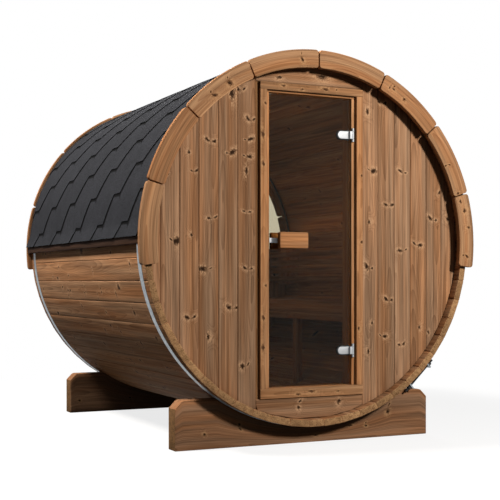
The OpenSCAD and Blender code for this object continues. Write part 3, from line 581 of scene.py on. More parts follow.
def upright_boards(edges, y, thick, knots, high=None):
    """Upright boards between the given edges, their ends cut to the round wall, or the
    tops cut level at a height."""
    boards = []
    for x0, x1 in zip(edges[:-1], edges[1:]):
        x0, x1 = sorted((x0 * M, x1 * M))
        mid = (x0 + x1) / 2
        out = joint_section(x1 - x0, thick)
        out[:, 0] = np.clip(out[:, 0], -WALL_HALF - mid, WALL_HALF - mid)
        rise = chord(mid + out[:, 0])
        mine = [(z * M, x * M - mid, hz * M, hx * M, kind) for x, z, hz, hx, kind in knots
                if x0 < x * M < x1]
        boards.append(plank(out, (AXIS_Z - rise, high or AXIS_Z + rise), standing(mid, y), mine))
    return boards


for which, edges in (("left", LEFT_EDGES), ("right", RIGHT_EDGES)):
    build("wall_boards_" + which, upright_boards(edges, WALL_Y, WALL_T, WALL_KNOTS),
          [wall_pine, pine_ends], "barrel", ("front_wall_" + which,))


def level_board(z0, z1, y, thick, left, right, knots=()):
    """A level board between two x, its ends cut to the round wall."""
    mid = (z0 + z1) / 2
    out = joint_section(z1 - z0, thick)
    z = mid + out[:, 0] - AXIS_Z
    return plank(out, (np.maximum(left, -chord(z)), np.minimum(right, chord(z))),
                 lying(y, mid), knots)


FACE_T, BACK_T, LAP = 0.012, 0.0298, 0.0002
for which, z0, z1, knots in (
        ("over", 1.9475, 2.0545, [(0.06, 0.005, 9 * M, 7 * M, 0.5),
                                  (-0.2, -0.02, 6 * M, 6 * M, 0.5)]),
        ("under", 0.1395, 0.2535, [(-0.085, 0.02, 8 * M, 12 * M, 1.5),
                                   (0.17, 0.03, 6 * M, 10 * M, 0.5)])):
    boards = [level_board(z0, z1, WALL_Y, FACE_T, -0.342, 0.3195, knots),
              level_board(z0, z1, WALL_Y + FACE_T + LAP, BACK_T, -0.283, 0.283)]
    build("wall_board_" + which + "_door", boards, [wall_pine, pine_ends], "barrel",
          ("front_wall_" + which + "_door",))

# ---------------------------------------------------------------- door posts
# Two upright posts of pine behind the casing, set back so that a dark strip
# shows beside it. They run from the lowest stave to the crown.
# Darker than the wall, a painted shade for the casing's shade on it; hardly any sheen
post_pine_painted_shade = timber("heat_treated_pine_post_painted_shade", "#85613F", "#553A24", "#23150C", rough=0.62)
POST_Y, POST_T = -0.998, 0.030
posts = [post for edges in ((-342, -283.6), (283.6, 319.5))
         for post in upright_boards(edges, POST_Y, POST_T, ())]
build("door_post_pair", posts, [post_pine_painted_shade, pine_ends], "barrel", ("door_posts",))

# ---------------------------------------------------------------- casing and lining
# Planed pine boards frame the doorway: a flat casing on the wall and a lining
# behind it, set back by a small step, both a little lighter than the wall.
# Finely planed: light brown, even in tone, soft sheen
casing_pine = timber("heat_treated_pine_casing", "#A67B55", "#785436", "#40291B", "#B08962",
                     rough=0.52, tone_depth=0.12)
CASING_Y, CASING_T, CASING_X0, CASING_X1 = -1.018, 0.020, 0.2795, 0.3195
LINING_Y, LINING_T, LINING_X0, LINING_X1 = -0.998, 0.100, 0.2575, 0.2835
HEAD_Z0, HEAD_Z1, LINING_HEAD_Z0, SILL_Z0, SILL_Z1 = 1.907, 1.947, 1.895, 0.254, 0.307
SEAM = 0.0005


def upright(x0, x1, z0, z1, y, t, knots=()):
    """A straight upright board between two x and two z, from depth y back by t."""
    return plank(section(x1 - x0, t, 0.0025), (z0, z1), standing((x0 + x1) / 2, y), knots)


def level(x0, x1, z0, z1, y, t, knots=()):
    """A straight level board between two x and two z, from depth y back by t."""
    return plank(section(z1 - z0, t, 0.0025), (x0, x1), lying(y, (z0 + z1) / 2), knots)


# Each knot: along and across in metres, half length and half width in millimetres
for piece, node, board, x0, x1, z0, z1, knots in (
        ("casing_side_left", "casing_left", upright, -CASING_X1, -CASING_X0, SILL_Z1 + SEAM,
         HEAD_Z0 - SEAM, [(1.665, 0, 8, 8), (1.507, 0, 8, 8), (0.686, 0, 8, 8),
                          (0.529, 0, 8, 8), (1.83, 0.012, 5, 7), (0.86, 0.012, 5, 7)]),
        ("casing_side_right", "casing_right", upright, CASING_X0, CASING_X1, SILL_Z1 + SEAM,
         HEAD_Z0 - SEAM, [(1.100, 0.01, 5, 8), (0.62, -0.01, 5, 5), (1.47, 0.01, 4, 5)]),
        ("casing_head_board", "casing_head", level, -CASING_X1, CASING_X1, HEAD_Z0, HEAD_Z1,
         [(-0.18, 0.004, 8, 6), (-0.065, -0.004, 6, 5), (0.082, -0.002, 7, 5),
          (0.15, 0.006, 4, 4)]),
        ("casing_sill_board", "casing_sill", level, -CASING_X1, CASING_X1, SILL_Z0, SILL_Z1,
         [(-0.01, 0.008, 8, 5), (-0.09, -0.012, 6, 5), (0.16, 0.0, 5, 4)])):
    knots = [(along, across, a * M, b * M, 0.5) for along, across, a, b in knots]
    build(piece, [board(x0, x1, z0, z1, CASING_Y, CASING_T, knots)], [casing_pine, pine_ends],
          "barrel", (node,))
lining = [board(x0, x1, z0, z1, LINING_Y, LINING_T) for board, x0, x1, z0, z1 in (
    (upright, LINING_X0, LINING_X1, SILL_Z1 + SEAM, LINING_HEAD_Z0 - SEAM),
    (upright, -LINING_X1, -LINING_X0, SILL_Z1 + SEAM, LINING_HEAD_Z0 - SEAM),
    (level, -LINING_X1, LINING_X1, LINING_HEAD_Z0, HEAD_Z1),
    (level, -LINING_X1, LINING_X1, SILL_Z0, SILL_Z1))]
build("doorway_lining", lining, [casing_pine, pine_ends], "barrel",
      ("jamb_lining",))

# ---------------------------------------------------------------- hinges
# Cast zinc door furniture with a satin chrome finish: a plate and two knuckles on
# the jamb, and clamps that grip the glass through thin black rubber.
# Satin chrome: pale grey metal with a blurred shine that varies a little
chrome = mottled("satin_chrome_casting", 90.0, 3.0, "#85888B", "#A3A5A7", (0.54, 0.66),
                 {"Metallic": 0.95})
# Black rubber: very dark, soft looking and dull
rubber = mottled("black_rubber_gasket", 300.0, 2.0, "#0B0B0B", "#1C1C1C", 0.75,
                 {"Specular IOR Level": 0.3})
PIN_X, PIN_Y = 0.263, -1.006
GLASS_Y, GLASS_T = -0.985, 0.008
GLASS_FACES = ((GLASS_Y, -1), (GLASS_Y + GLASS_T, 1))
CLAMP_X0, CLAMP_X1, CLAMP_R, CLAMP_T, SCREW_X = 0.174, 0.2545, 0.021, 0.009, 0.203
PAD_T, PAD_AND_SHADOW_RIM, PAD_X1 = 0.0018, 0.006, 0.2513
WEB_X, LEAF_X0, LEAF_X1, LEAF_R, LEAF_T, THIN = 0.244, 0.2535, 0.262, 0.0205, 0.003, 0.0004
PLATE_W, PLATE_X, PLATE_Y, EAR_X0, EAR_X1 = 0.0155, 0.26625, -1.001, 0.2585, 0.2675
EAR_LOW, EAR_HIGH = 0.022, 0.0375


def d_shape(x0, x1, r, corner=0.003):
    """Outline in x and z: a half circle at x0, two small corners at x1."""
    left = np.radians(np.arange(90, 271, 12))
    pts = [(x0 + r + r * math.cos(a), r * math.sin(a)) for a in left]
    for start, side in ((-90, -1), (0, 1)):
        for a in np.radians(np.arange(start, start + 91, 30)):
            pts.append((x1 - corner + corner * math.cos(a),
                        side * (r - corner) + corner * math.sin(a)))
    return np.array(pts)


def rectangle(x0, x1, z0, z1):
    """Outline in x and z with four sharp corners."""
    return np.array([(x0, z0), (x1, z0), (x1, z1), (x0, z1)])


def slab(outline, y0, y1, z, ease):
    """A flat casting: the outline carried from y0 to y1, with rounded rims."""
    return plank(outline, (0, abs(y1 - y0)),
                 lambda a, d, l: np.stack([a, y0 + np.sign(y1 - y0) * l, z + d], -1),
                 step=1.0, ease=ease, ease_a=ease)


def along_y(x, y, z, out):
    """Place of a turned part whose axis runs from y along Y, forwards or backwards."""
    return lambda a, b, h: np.stack([x + a, y + out * h, z + b], -1)


def screw_head(x, y, z, out, r):
    """A countersunk head with a six-lobed recess: the radius waves by a sixth of itself
    inside the recess, whose floor lies 1.4 mm down."""
    sides = 36
    even = np.ones(sides)
    lobe = 1 + 0.16 * np.cos(6 * np.arange(sides) * 2 * math.pi / sides)
    radius = r * np.array([even, even, even * 0.92, lobe * 0.5, lobe * 0.45, even * 0.1])
    return lathe(radius, [-0.001, 0.0002, 0.0006, 0.0006, -0.0008, -0.0008],
                 along_y(x, y, z, out), sides)


def pin_part(z0, z1, r=0.0060, ease=0.0008):
    """A knuckle: a turned cylinder with eased rims, standing on the pin's axis."""
    return lathe([r - ease, r, r, r - ease], [z0, z0 + ease, z1 - ease, z1],
                 lambda a, b, h: np.stack([PIN_X + a, PIN_Y + b, h], -1))


for which, z in (("upper", 1.693), ("lower", 0.499)):
    cheek = d_shape(CLAMP_X0, CLAMP_X1, CLAMP_R)
    clamp = [slab(cheek, y + out * PAD_T, y + out * CLAMP_T, z, 0.0016)
             for y, out in GLASS_FACES]
    # A web and a leaf carry the cheeks to the middle knuckle
    clamp += [slab(rectangle(WEB_X, CLAMP_X1, -CLAMP_R, CLAMP_R), GLASS_Y - CLAMP_T + 0.0005,
                   PIN_Y - LEAF_T, z, THIN),
              slab(rectangle(LEAF_X0, LEAF_X1, -LEAF_R, LEAF_R), PIN_Y + LEAF_T, PIN_Y - LEAF_T,
                   z, THIN),
              pin_part(z - CLAMP_R, z + CLAMP_R)]
    clamp += [screw_head(SCREW_X, y + out * CLAMP_T, z, out, 0.005) for y, out in GLASS_FACES]
    build("hinge_clamp_casting_" + which, clamp, [chrome], "door",
          ("hinge_clamp_" + which,))
    # The black rim reaching past each cheek is part rubber gasket and part painted shadow round the
    # clamp; a black patch also reaches past the clamp above and below
    pad = d_shape(CLAMP_X0 - PAD_AND_SHADOW_RIM, PAD_X1, CLAMP_R + PAD_AND_SHADOW_RIM)
    bulge = section(0.062, 0.020, 0.009, 2)[:, ::-1] + (0.2305, 0)
    gasket_and_painted_shadow = [slab(pad, y, y + out * PAD_T, z, THIN) for y, out in GLASS_FACES]
    gasket_and_painted_shadow.append(slab(bulge, GLASS_Y, GLASS_Y - 0.0014, z, THIN))
    build("hinge_gasket_painted_shadow_" + which, gasket_and_painted_shadow, [rubber], "door")
    plate = section(PLATE_W, 2 * EAR_HIGH, 0.002, 2) + (PLATE_X, -EAR_HIGH)
    bracket = [slab(plate, LINING_Y - 0.0001, PLATE_Y, z, 0.0007),
               pin_part(z + EAR_LOW, z + EAR_HIGH), pin_part(z - EAR_HIGH, z - EAR_LOW)]
    bracket += [slab(rectangle(EAR_X0, EAR_X1, *ear), PLATE_Y + 0.0005, PIN_Y, z, 0.0003)
                for ear in ((EAR_LOW, EAR_HIGH), (-EAR_HIGH, -EAR_LOW))]
    build("hinge_plate_" + which, bracket, [chrome], "barrel",
          ("hinge_bracket_" + which,))

# ---------------------------------------------------------------- latch
# A small plate of the same satin chrome, clipped over the glass edge at the
# handle's height on a thin rubber pad.
LATCH_Z, LATCH_X, CATCH_T, CATCH_PAD_T = 1.102, -0.2265, 0.004, 0.0006
catch = section(0.050, 0.026, 0.004, 2) + (LATCH_X, -0.013)
latch = [slab(catch, GLASS_Y - CATCH_PAD_T, GLASS_Y - CATCH_T, LATCH_Z, 0.001),
         screw_head(LATCH_X + 0.011, GLASS_Y - CATCH_T, LATCH_Z, -1, 0.0035)]
build("latch_casting", latch, [chrome], "door", ("latch_plate",))
catch_pad = section(0.052, 0.028, 0.004, 2) + (LATCH_X + 0.001, -0.014)
build("latch_gasket", [slab(catch_pad, GLASS_Y, GLASS_Y - CATCH_PAD_T, LATCH_Z, 0.0002)],
      [rubber], "door")

# ---------------------------------------------------------------- glass
# Tempered float glass, bronze tinted in the door and clear in the rear window.
# It mirrors a little, and its edges look darker.


def pane(name, tint, lamp_tint):
    """Clear or tinted glass that also lets lamps through, so the cabin is lit."""
    m, t = new_material(name)
    glass = add(t, "ShaderNodeBsdfPrincipled", {"Base Color": linear(tint), "Roughness": 0.0,
                                                "IOR": 1.45, "Specular IOR Level": 0.3,
                                                "Specular Tint": linear("#757575"),
                                                "Transmission Weight": 1.0})[0]
    clear = add(t, "ShaderNodeBsdfTransparent", {"Color": linear(lamp_tint)})[0]
    ray = add(t, "ShaderNodeLightPath")["Is Shadow Ray"]
    mix = add(t, "ShaderNodeMixShader", {0: ray, 1: glass, 2: clear})[0]
    add(t, "ShaderNodeOutputMaterial", {"Surface": mix})
    return m


for n, m in (("door_glass", pane("bronze_tinted_glass", "#C4B8A0", "#9A8E78")),
             ("rear_window_glass", pane("clear_float_glass", "#F2F5F0", "#FAFCFA"))):
    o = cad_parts[n]
    o.data.materials.clear()
    o.data.materials.append(m)

# ---------------------------------------------------------------- handles
# Solid pine blocks with eased edges, bolted through the glass on two short
# spacers, one outside and one inside.
# Sanded smooth: even light brown, a little shinier than the boards
handle_pine = timber("heat_treated_pine_handle", "#A67B56", "#7D5839", "#3A2416", "#AE8660",
                     rough=0.5, tone_depth=0.1, streak=0.4)
SPACER, SPACER_R, HANDLE_T, HANDLE_EASE = 0.034, 0.011, 0.028, 0.006
for which, (y, out) in zip(("outer", "inner"), GLASS_FACES):
    face = y + SPACER if out > 0 else y - SPACER - HANDLE_T
    block = plank(section(0.088, HANDLE_T, HANDLE_EASE), (-0.2165, -0.0425),
                  lying(face, LATCH_Z), step=0.02, ease=HANDLE_EASE, ease_a=HANDLE_EASE)
    pegs = [lathe([SPACER_R, SPACER_R], [0, SPACER], along_y(x, y, LATCH_Z, out))
            for x in (-0.1815, -0.0775)]
    build("handle_block_" + which, [block] + pegs, [handle_pine, pine_ends],
          "door", ("handle_" + which,))

# ---------------------------------------------------------------- rear wall
# The same boards close the rear up to a level rail, and one sheet of clear
# glass fills the half moon above it.
REAR_Y = 0.968
RAIL_Z0, RAIL_Z1 = 1.0662, 1.110
half = (106, 212, 318, 423, 529, 635, 741, 847, 959.6)
rear_edges = (*(-x for x in reversed(half)), 0, *half)
rear_knots = [(rng.uniform(-900, 900), rng.uniform(200, 1040), rng.uniform(5, 9),
               rng.uniform(8, 14), 1.5 if rng.random() < 0.6 else 0.5) for _ in range(36)]
build("rear_wall_boarding", upright_boards(rear_edges, REAR_Y, WALL_T, rear_knots, high=1.066),
      [wall_pine, pine_ends], "barrel", ("rear_wall_boards",))
build("rear_rail", [level_board(RAIL_Z0, RAIL_Z1, REAR_Y, WALL_T, -WALL_HALF, WALL_HALF)],
      [wall_pine, pine_ends], "barrel", ("rear_window_rail",))

# ---------------------------------------------------------------- window seal
# A black rubber strip pressed in round the rear glass, and a slim pine bead that
# holds it along the rail inside and outside.
REAR_GLASS_Y, REAR_GLASS_T, SEAL_LIP = 0.985, 0.008, 0.003
SEAL_R0, SEAL_R1, SEAL_DEG = 0.9500, 0.9602, (1.2, 178.8)
BEAD_H, BEAD_T, BEAD_GAP, BEAD_Z = 0.014, 0.012, 0.001, 1.1172


def ring_strip(r0, r1, y0, y1, deg0, deg1):
    """A strip along an arc: across is the radius, along is the arc's length."""
    mid = (r0 + r1) / 2
    return plank(section(r1 - r0, y1 - y0, 0.001, 1),
                 (math.radians(deg0) * mid, math.radians(deg1) * mid),
                 lambda a, d, l: np.stack([(mid + a) * np.cos(l / mid), y0 + d,
                                           AXIS_Z + (mid + a) * np.sin(l / mid)], -1),
                 step=0.03, ease=0.0005)


seal = ring_strip(SEAL_R0, SEAL_R1, REAR_GLASS_Y - SEAL_LIP,
                  REAR_GLASS_Y + REAR_GLASS_T + SEAL_LIP, *SEAL_DEG)
build("rear_window_seal", [seal], [rubber], "barrel")
beads = [plank(section(BEAD_H, BEAD_T, 0.003, 1), (-0.957, 0.957), lying(y, BEAD_Z), step=0.08)
         for y in (REAR_GLASS_Y - BEAD_GAP - BEAD_T, REAR_GLASS_Y + REAR_GLASS_T + BEAD_GAP)]
build("rear_window_beads", beads, [casing_pine, pine_ends], "barrel")

# ---------------------------------------------------------------- bench
# A slatted bench of bare heat-treated pine runs down the right side, with an
# apron, posts cut to the staves and a slatted backrest on uprights.
# Sanded for bare skin: mid brown and matt
bench_pine = timber("heat_treated_pine_bench", "#A67C5A", "#6C4A33", "#24160E", rough=0.58)
BENCH_Y, POST_YS, POST_W = (-0.956, 0.956), (-0.896, -0.090, 0.851), 0.045
SEAT_X, SEAT_Z, SLAT_W, SLAT_GAP, BOARD = 0.388, 0.765, 0.12256, 0.012, 0.027
LEG_X, BEARER_Z, BEARER_X, BACK_X, BACK_W = 0.430, 0.703, 0.4535, 0.8733, 0.145
APRON_X, APRON_Z, POST_Z0, POST_Z1, BEARER_H = 0.380, 0.646, 0.861, 1.197, 0.070
BACK_BOARD_X, BACK_Z, BACK_TOP, BACK_SLAT, BACK_STEP = 0.770, 1.113, 1.205, 0.038, 0.058
BORE_R = 0.9592


def lengthwise(x0, x1, z0, z1):
    """A board along Y between two x and two z; its face looks up or to -X."""
    if x1 - x0 > z1 - z0:
        return plank(section(x1 - x0, z1 - z0), BENCH_Y,
                     lambda a, d, l: np.stack([(x0 + x1) / 2 + a, l, z1 - d], -1), step=0.05)
    return plank(section(z1 - z0, x1 - x0), BENCH_Y,
                 lambda a, d, l: np.stack([x0 + d, l, (z0 + z1) / 2 + a], -1), step=0.05)


def back_place(y):
    """Place of a backrest post, pressed in where it would pass the staves."""
    return lambda a, d, l: np.stack([np.minimum(BACK_X + a, chord(l - AXIS_Z, BORE_R)), y + d, l],
                                    -1)


seat = [lengthwise(x, x + SLAT_W, SEAT_Z - BOARD, SEAT_Z)
        for x in SEAT_X + np.arange(4) * (SLAT_W + SLAT_GAP)]
apron = [lengthwise(APRON_X, APRON_X + BOARD, APRON_Z, SEAT_Z - BOARD)]
legs, bearers, back = [], [], []
for y in POST_YS:
    out = section(POST_W, POST_W, 0.002, 2)
    foot = AXIS_Z - chord(LEG_X + out[:, 0], BORE_R)
    legs.append(plank(out, (foot, SEAT_Z - BOARD), standing(LEG_X, y), step=0.05))
    out = section(BEARER_H, POST_W, 0.002, 2)
    far = chord(BEARER_Z + out[:, 0] - AXIS_Z, BORE_R)
    bearers.append(plank(out, (BEARER_X, far), lying(y, BEARER_Z), step=0.05))
    out = section(BACK_W, POST_W, 0.002, 3)
    rise = chord(np.minimum(BACK_X + out[:, 0], BORE_R - 0.0007), BORE_R)
    low = np.maximum(POST_Z0, AXIS_Z - rise)
    top = np.maximum(np.minimum(POST_Z1, AXIS_Z + rise), low + 0.01)
    back.append(plank(out, (low, top), back_place(y), step=0.05))
back.append(lengthwise(BACK_BOARD_X, BACK_BOARD_X + BOARD, BACK_Z, BACK_TOP))
for z in BACK_Z - np.arange(1, 5) * BACK_STEP:
    back.append(lengthwise(BACK_BOARD_X, BACK_BOARD_X + BOARD, z, z + BACK_SLAT))
for piece, boards, node in (
        ("bench_seat_slats", seat, "bench_seat"), ("bench_apron_board", apron, "bench_apron"),
        ("bench_leg_posts", legs, "bench_legs"), ("bench_bearer_rails", bearers, "bench_bearers"),
        ("bench_backrest_slats", back, "bench_backrest")):
    build(piece, boards, [bench_pine, pine_ends], "barrel", (node,))

# ---------------------------------------------------------------- led strip
# Slim strips of warm light lie hidden behind the top slat of the backrest,
# between its posts, and wash the staves above it.
# A frosted cover spreads the light: an even warm white glow
warm, t = new_material("warm_led_diffuser")
glow = add(t, "ShaderNodeEmission", {"Color": linear("#FFE6CC"), "Strength": 5.0})[0]
add(t, "ShaderNodeOutputMaterial", {"Surface": glow})
STRIP_X, STRIP_Z = 0.815, 1.160
strips = [plank(section(0.016, 0.008, 0.001, 1), between,
                lambda a, d, l: np.stack([STRIP_X + a, l, STRIP_Z + d], -1), step=0.1)
          for between in ((-0.845, -0.095), (-0.040, 0.846))]
build("led_strip_backrest", strips, [warm], "barrel")

# ---------------------------------------------------------------- trim rings
# Eight curved boards at each end, sawn from wide pine planks and rounded over, are
# screwed to the stave ends with a small gap between them.
# Planed and rounded over: light brown with strong streaks, soft sheen
trim_pine = timber("heat_treated_pine_trim", "#A47B56", "#774F33", "#2C1B10", "#B08861",
                   rough=0.54, tone_depth=0.16, streak=0.5)
R_IN, R_OUT, TRIM_T = 0.932, 1.030, 0.028
TRIM_DEG, TRIM_GAP, ROUND_OVER, ROUND_END = 24.45, 0.006, 0.0045, 0.016
R_MID = (R_IN + R_OUT) / 2


def curved(deg, y, facing):
    """A board bent in its plane: across is radial, along is arc length, depth leaves y."""
    def place(a, d, l):
        ang = math.radians(deg) - l / R_MID
        return np.stack([(R_MID + a) * np.cos(ang), y + facing * (d - TRIM_T),
                         AXIS_Z + (R_MID + a) * np.sin(ang)], -1)
    return place


for which, y, facing in (("front", -BARREL_Y, 1), ("rear", BARREL_Y, -1)):
    ring = []
    half = math.radians(TRIM_DEG / 2) * R_MID - TRIM_GAP / 2
    for i in range(8):
        deg = 90 + (3.5 - i) * TRIM_DEG
        ring.append(plank(section(R_OUT - R_IN, TRIM_T, 0.002, 5, front=ROUND_OVER),
                          (-half, half), curved(deg, y, facing),
                          scatter_knots(2 * half, R_OUT - R_IN, 3.5, -half), step=0.018,
                          ease=ROUND_OVER, ease_a=ROUND_END, front_only=True))
    build("trim_ring_boards_" + which, ring, [trim_pine], "barrel",
          ("trim_ring_" + which,))

# ---------------------------------------------------------------- eave battens
# A planed softwood batten is nailed along each side of the barrel at
# the height of its axis and carries the lowest row of shingles.
# Nearly black brown, a painted shade for the shade under the eave; matt, the grain just shows
batten_pine_painted_shade = timber("eave_batten_painted_shade", "#3E2B20", "#241912", "#1C120B", "#4A3322",
                     rough=0.6)
BATTEN_H, BATTEN_T, BATTEN_X, BATTEN_Z = 0.038, 0.026, 1.002, AXIS_Z - 0.007
battens = [plank(section(BATTEN_H, BATTEN_T, 0.003, 2), (-BARREL_Y, BARREL_Y),
                 lambda a, d, l, side=side: np.stack(
                     [side * (BATTEN_X + BATTEN_T - d), l, BATTEN_Z + a], -1), step=0.06)
           for side in (1, -1)]
build("eave_batten_pair", battens, [batten_pine_painted_shade, pine_ends], "barrel",
      ("eave_battens",))

# ---------------------------------------------------------------- shingles
# Bitumen shingles with hexagonal tabs, surfaced with charcoal mineral granules,
# nailed in rows from the eaves up; each row laps the one below.
# Mineral granules: charcoal grey, speckled and rough, without a shine. Just below the next row's
# edge the colour is painted near black as shadow
granules, t = new_material("bitumen_shingle_granules")
where = add(t, "ShaderNodeTexCoord")["Object"]
tone = add(t, "ShaderNodeAttribute", attribute_name="tone")["Fac"]
# The grain value holds how far a point lies below the next row's edge: within 14 mm of it the colour
# is painted near black, a painted shadow of that row, fading out by 21 mm
under_lap = add(t, "ShaderNodeAttribute", attribute_name="grain")["Vector"]
under_lap = add(t, "ShaderNodeSeparateXYZ", {0: under_lap})[0]
speck, cloud = (add(t, "ShaderNodeTexNoise", {"Vector": where, "Scale": size,
                                              "Detail": detail})["Fac"]
                for size, detail in ((1000 / 5.0, 3.0), (9.0, 2.0)))
share, shade, cloud, lap_shadow = (
    add(t, "ShaderNodeMapRange", {0: value, 1: low, 2: high, 3: at_low, 4: at_high})[0]
    for value, low, high, at_low, at_high in (
        (speck, 0.35, 0.65, 0.0, 1.0), (tone, 0.0, 1.0, 0.92, 1.06), (cloud, 0.3, 0.7, 0.9, 1.1),
        (under_lap, 0.014, 0.021, 0.02, 1.0)))
colour = add(t, "ShaderNodeMix", {0: share, 6: linear("#151619"), 7: linear("#2D2E32")},
             data_type="RGBA")[2]
# Tab tone, clouds and the painted shadow below the next row's edge darken the granules
for by in (cloud, lap_shadow):
    shade = add(t, "ShaderNodeMath", {0: shade, 1: by}, operation="MULTIPLY")[0]
colour = add(t, "ShaderNodeVectorMath", {0: colour, 3: shade}, operation="SCALE")[0]
normal = add(t, "ShaderNodeBump", {"Height": speck, "Strength": 0.5, "Distance": 0.002})[0]
felt = add(t, "ShaderNodeBsdfPrincipled", {"Base Color": colour, "Roughness": 0.85,
                                           "Specular IOR Level": 0.05, "Normal": normal})[0]
add(t, "ShaderNodeOutputMaterial", {"Surface": felt})

ROOF_R = 1.0025
PERIOD, FLAT, FIRST_Y, SHEET_T = 0.400, 0.100, -1.020, 0.0046
ROW_DEG, EAVE_DEG, LOWEST_DEG, HEAD_ROWS = 9.15, -3.6, 0.75, 3.2
FLARE_DEG = (2.8, 5.0)  # columns where the deck bends over the batten


def past_tab(y, row):
    """Distance past the start of the tab at y; odd rows are shifted by half a tab."""
    return y - FIRST_Y - (0.5 * PERIOD if row % 2 else 0) + FLAT / 2


def tab_edge(y, row):
    """Lower edge of a row in rows above its own line: 0 on a tab's flat foot, then a
    straight rise over one flat width to 1 between the tabs."""
    u = np.mod(past_tab(y, row), PERIOD)
    rise = np.clip((u - FLAT) / FLAT, 0, 1)
    fall = np.clip((PERIOD - u) / FLAT, 0, 1)
    return np.minimum(rise, fall)


def shell_radius(deg):
    """Radius of the roof deck: the band's outside, flared out over the eave batten."""
    z = ROOF_R * np.sin(np.radians(deg))
    out = np.clip((0.082 - z) / 0.070, 0, 1)
    return ROOF_R + 0.0235 * out


def shingle_row(row, side):
    """A row as a thick sheet: foot on the row below, head on the deck. Radius falls from
    the foot to the head; lower edge = row line + tab edge."""
    ys = np.unique(np.concatenate([np.arange(-BARREL_Y + 0.001, BARREL_Y, 0.0125),
                                   [BARREL_Y - 0.001]]))
    foot = EAVE_DEG + (row + tab_edge(ys, row)) * ROW_DEG
    foot = (np.full_like(ys, LOWEST_DEG) if row < 0 else
            np.maximum(foot, LOWEST_DEG + 0.02 * row))
    edge = tab_edge(ys, row + 1)
    nxt = np.maximum(EAVE_DEG + (row + 1 + edge) * ROW_DEG, LOWEST_DEG)
    lean = np.where((edge > 0.001) & (edge < 0.999), 0.53, 1.0)
    head = np.minimum(EAVE_DEG + (row + HEAD_ROWS) * ROW_DEG, 90.2 if row < 9 else 92)
    foot, nxt = np.minimum(foot, 90), np.minimum(nxt, 90)
    wob = np.degrees(rng.normal(0, 0.0006, len(ys)))
    foot = foot + wob
    nxt = np.maximum(nxt, foot)
    near = np.degrees(0.023 / lean)
    cols = [foot, foot + 0.12] + [foot + (nxt - foot - near) * k / 5 for k in (1, 2, 3, 4)]
    cols = [np.maximum(c, foot) for c in cols]
    cols += [np.maximum(nxt - near, foot), np.maximum(nxt - near * 0.3, foot), nxt + 0.2,
             *(np.full_like(ys, bend) for bend in FLARE_DEG), (nxt + head) / 2,
             np.full_like(ys, max(head, nxt.max() + 1.6))]
    deg = np.maximum.accumulate(np.stack(cols, -1), -1)
    # The lee of a tab's rear facing edge gathers no shadow
    u = np.mod(past_tab(ys, row + 1), PERIOD)
    lee = np.where((u > FLAT * 1.05) & (u < FLAT * 1.95), 8.0, 1.0)
    # How far each point lies below the next row's edge: the material paints shadow where this is
    # small
    under = np.radians(nxt[:, None] - deg) * ROOF_R * (lean * lee)[:, None]
    under[:, 0] = 0  # the cut edge is bare black bitumen, and is painted near black as shadow under the tab too
    rise = np.clip(1 - (deg - EAVE_DEG - row * ROW_DEG) / (HEAD_ROWS * ROW_DEG), 0, 1)
    r_out = shell_radius(deg) + SHEET_T * (1.4 + 1.9 * rise)
    r_in = r_out - SHEET_T * 1.7
    m, n = deg.shape
    D = np.concatenate([deg, deg[:, ::-1]], 1)
    R = np.concatenate([r_out, r_in[:, ::-1]], 1)
    U = np.concatenate([under, under[:, ::-1] * 0], 1)
    Y = np.repeat(ys[:, None], 2 * n, 1)
    ang = np.radians(D)
    V = np.stack([side * R * np.cos(ang), Y, AXIS_Z + R * np.sin(ang)], -1).reshape(-1, 3)
    i = np.arange(n - 1)
    rim = np.stack([i, i + 1, 2 * n - 2 - i, 2 * n - 1 - i], -1)
    quads = np.concatenate([rings(m, 2 * n), rim[:, ::-1], rim + (m - 1) * 2 * n])
    quads, _ = outward(V, quads, np.zeros((0, 3), int))
    # Each tab has its own tone, scattered by the fraction of a large sine
    tabs = np.floor((past_tab(Y.ravel(), row) - FLAT / 2) / PERIOD + 0.5)
    tone = np.mod(np.sin(tabs * 12.9898 + row * 78.233 + side) * 43758.5453, 1)
    return dict(V=V, quads=quads, tris=np.zeros((0, 3), int), tone=tone,
                grain=np.stack([U.ravel(), U.ravel() * 0, Y.ravel()], -1),
                knot=np.zeros((quads.size, 3)), end=np.zeros(len(quads), int))


for side, which in ((1, "right"), (-1, "left")):
    build("shingle_rows_" + which, [shingle_row(r, side) for r in range(-1, 11)],
          [granules], "barrel", ("roof_shingles_" + which,))

# ---------------------------------------------------------------- floor, light, camera
# A plain pale floor and backdrop. A warm key lamp stands front right, a side lamp high on
# the left, a broad rear lamp behind, and a weak lamp hidden in the cabin lights the inside.
scene = bpy.context.scene
FLOOR_HALF, FLOOR_Z = 60.0, -0.001
WHITE = (1, 1, 1, 1)


def eye_share(tree):
    """1 for rays from the eye, also through glass or off metal; 0 for those that carry
    light."""
    path = add(tree, "ShaderNodeLightPath")
    seen = path["Is Camera Ray"]
    for kind in ("Is Glossy Ray", "Is Transmission Ray"):
        seen = add(tree, "ShaderNodeMath", {0: seen, 1: path[kind]}, operation="MAXIMUM")[0]
    first = add(tree, "ShaderNodeMath", {0: path["Diffuse Depth"], 1: 0.5},
                operation="LESS_THAN")[0]
    return add(tree, "ShaderNodeMath", {0: seen, 1: first}, operation="MULTIPLY")[0]


mesh = bpy.data.meshes.new("studio_floor")
mesh.from_pydata([(x * FLOOR_HALF, y * FLOOR_HALF, FLOOR_Z)
                  for x, y in ((-1, -1), (1, -1), (1, 1), (-1, 1))], [], [(0, 1, 2, 3)])
floor = bpy.data.objects.new("studio_floor", mesh)
scene.collection.objects.link(floor)
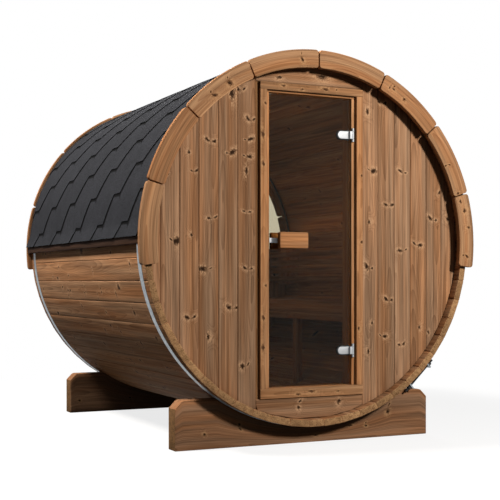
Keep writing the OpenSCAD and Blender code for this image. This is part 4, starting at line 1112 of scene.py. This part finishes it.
# Rays that carry light meet a grey floor; the eye meets a white one that keeps a
# faint shadow near the object and none further out
pale, t = new_material("pale_floor")
away = add(t, "ShaderNodeTexCoord")["Object"]
away = add(t, "ShaderNodeVectorMath", {0: away}, operation="LENGTH")["Value"]
away = add(t, "ShaderNodeMapRange", {0: away, 1: 1.8, 2: 3.6, 3: 0.80, 4: 1.0},
           interpolation_type="SMOOTHSTEP")[0]
seen = add(t, "ShaderNodeMath", {0: eye_share(t), 1: away}, operation="MULTIPLY")[0]
grey = add(t, "ShaderNodeMix", {0: seen, 6: linear("#343434"), 7: WHITE}, data_type="RGBA")[2]
lit = add(t, "ShaderNodeBsdfDiffuse", {"Color": grey})[0]
glow = add(t, "ShaderNodeEmission", {"Color": WHITE, "Strength": 1.0})[0]
mix = add(t, "ShaderNodeMixShader", {0: seen, 1: lit, 2: glow})[0]
add(t, "ShaderNodeOutputMaterial", {"Surface": mix})
mesh.materials.append(pale)

world = bpy.data.worlds.new("studio")
scene.world = world
world.use_nodes = True
t = world.node_tree
t.nodes.clear()
soft, white = (add(t, "ShaderNodeBackground", {"Color": WHITE, "Strength": strength})[0]
               for strength in (0.10, 1.0))
mix = add(t, "ShaderNodeMixShader", {0: eye_share(t), 1: soft, 2: white})[0]
add(t, "ShaderNodeOutputWorld", {"Surface": mix})


def lamp(name, place, target, size, watts, colour="#FFFFFF"):
    """A square area lamp that looks at a point."""
    data = bpy.data.lights.new(name, "AREA")
    data.shape, data.size, data.energy = "SQUARE", size, watts
    data.color = linear(colour)[:3]
    o = bpy.data.objects.new(name, data)
    scene.collection.objects.link(o)
    o.location = place
    o.rotation_euler = (Vector(target) - Vector(place)).to_track_quat("-Z", "Y").to_euler()
    return o


lamp("key_lamp", (1.5, -5.1, 3.0), (0, -1, 1.1), 0.6, 300, "#FFF9F2")
lamp("side_lamp", (-4.6, 0.4, 6.9), (-1, 0, 1.1), 1.2, 1100, "#FFF9F2")
lamp("rear_lamp", (3.0, 7.0, 4.0), (0, 1, 1.1), 3.0, 220)
cabin = lamp("cabin_lamp", (-0.5, -0.4, 1.3), (0.6, 0.0, 1.35), 0.5, 2.6)
cabin.visible_camera = cabin.visible_transmission = cabin.visible_glossy = False

camera = bpy.data.cameras.new("camera")
camera.sensor_width = 36.0
camera.lens = 77.69952
camera.shift_x, camera.shift_y = 0.0499, 0.0633
eye = bpy.data.objects.new("camera", camera)
scene.collection.objects.link(eye)
eye.location = (-2.929, -6.124, 0.880)
eye.rotation_euler = (math.radians(90), 0, math.radians(-25.19))
scene.camera = eye
scene.view_settings.view_transform = "Standard"
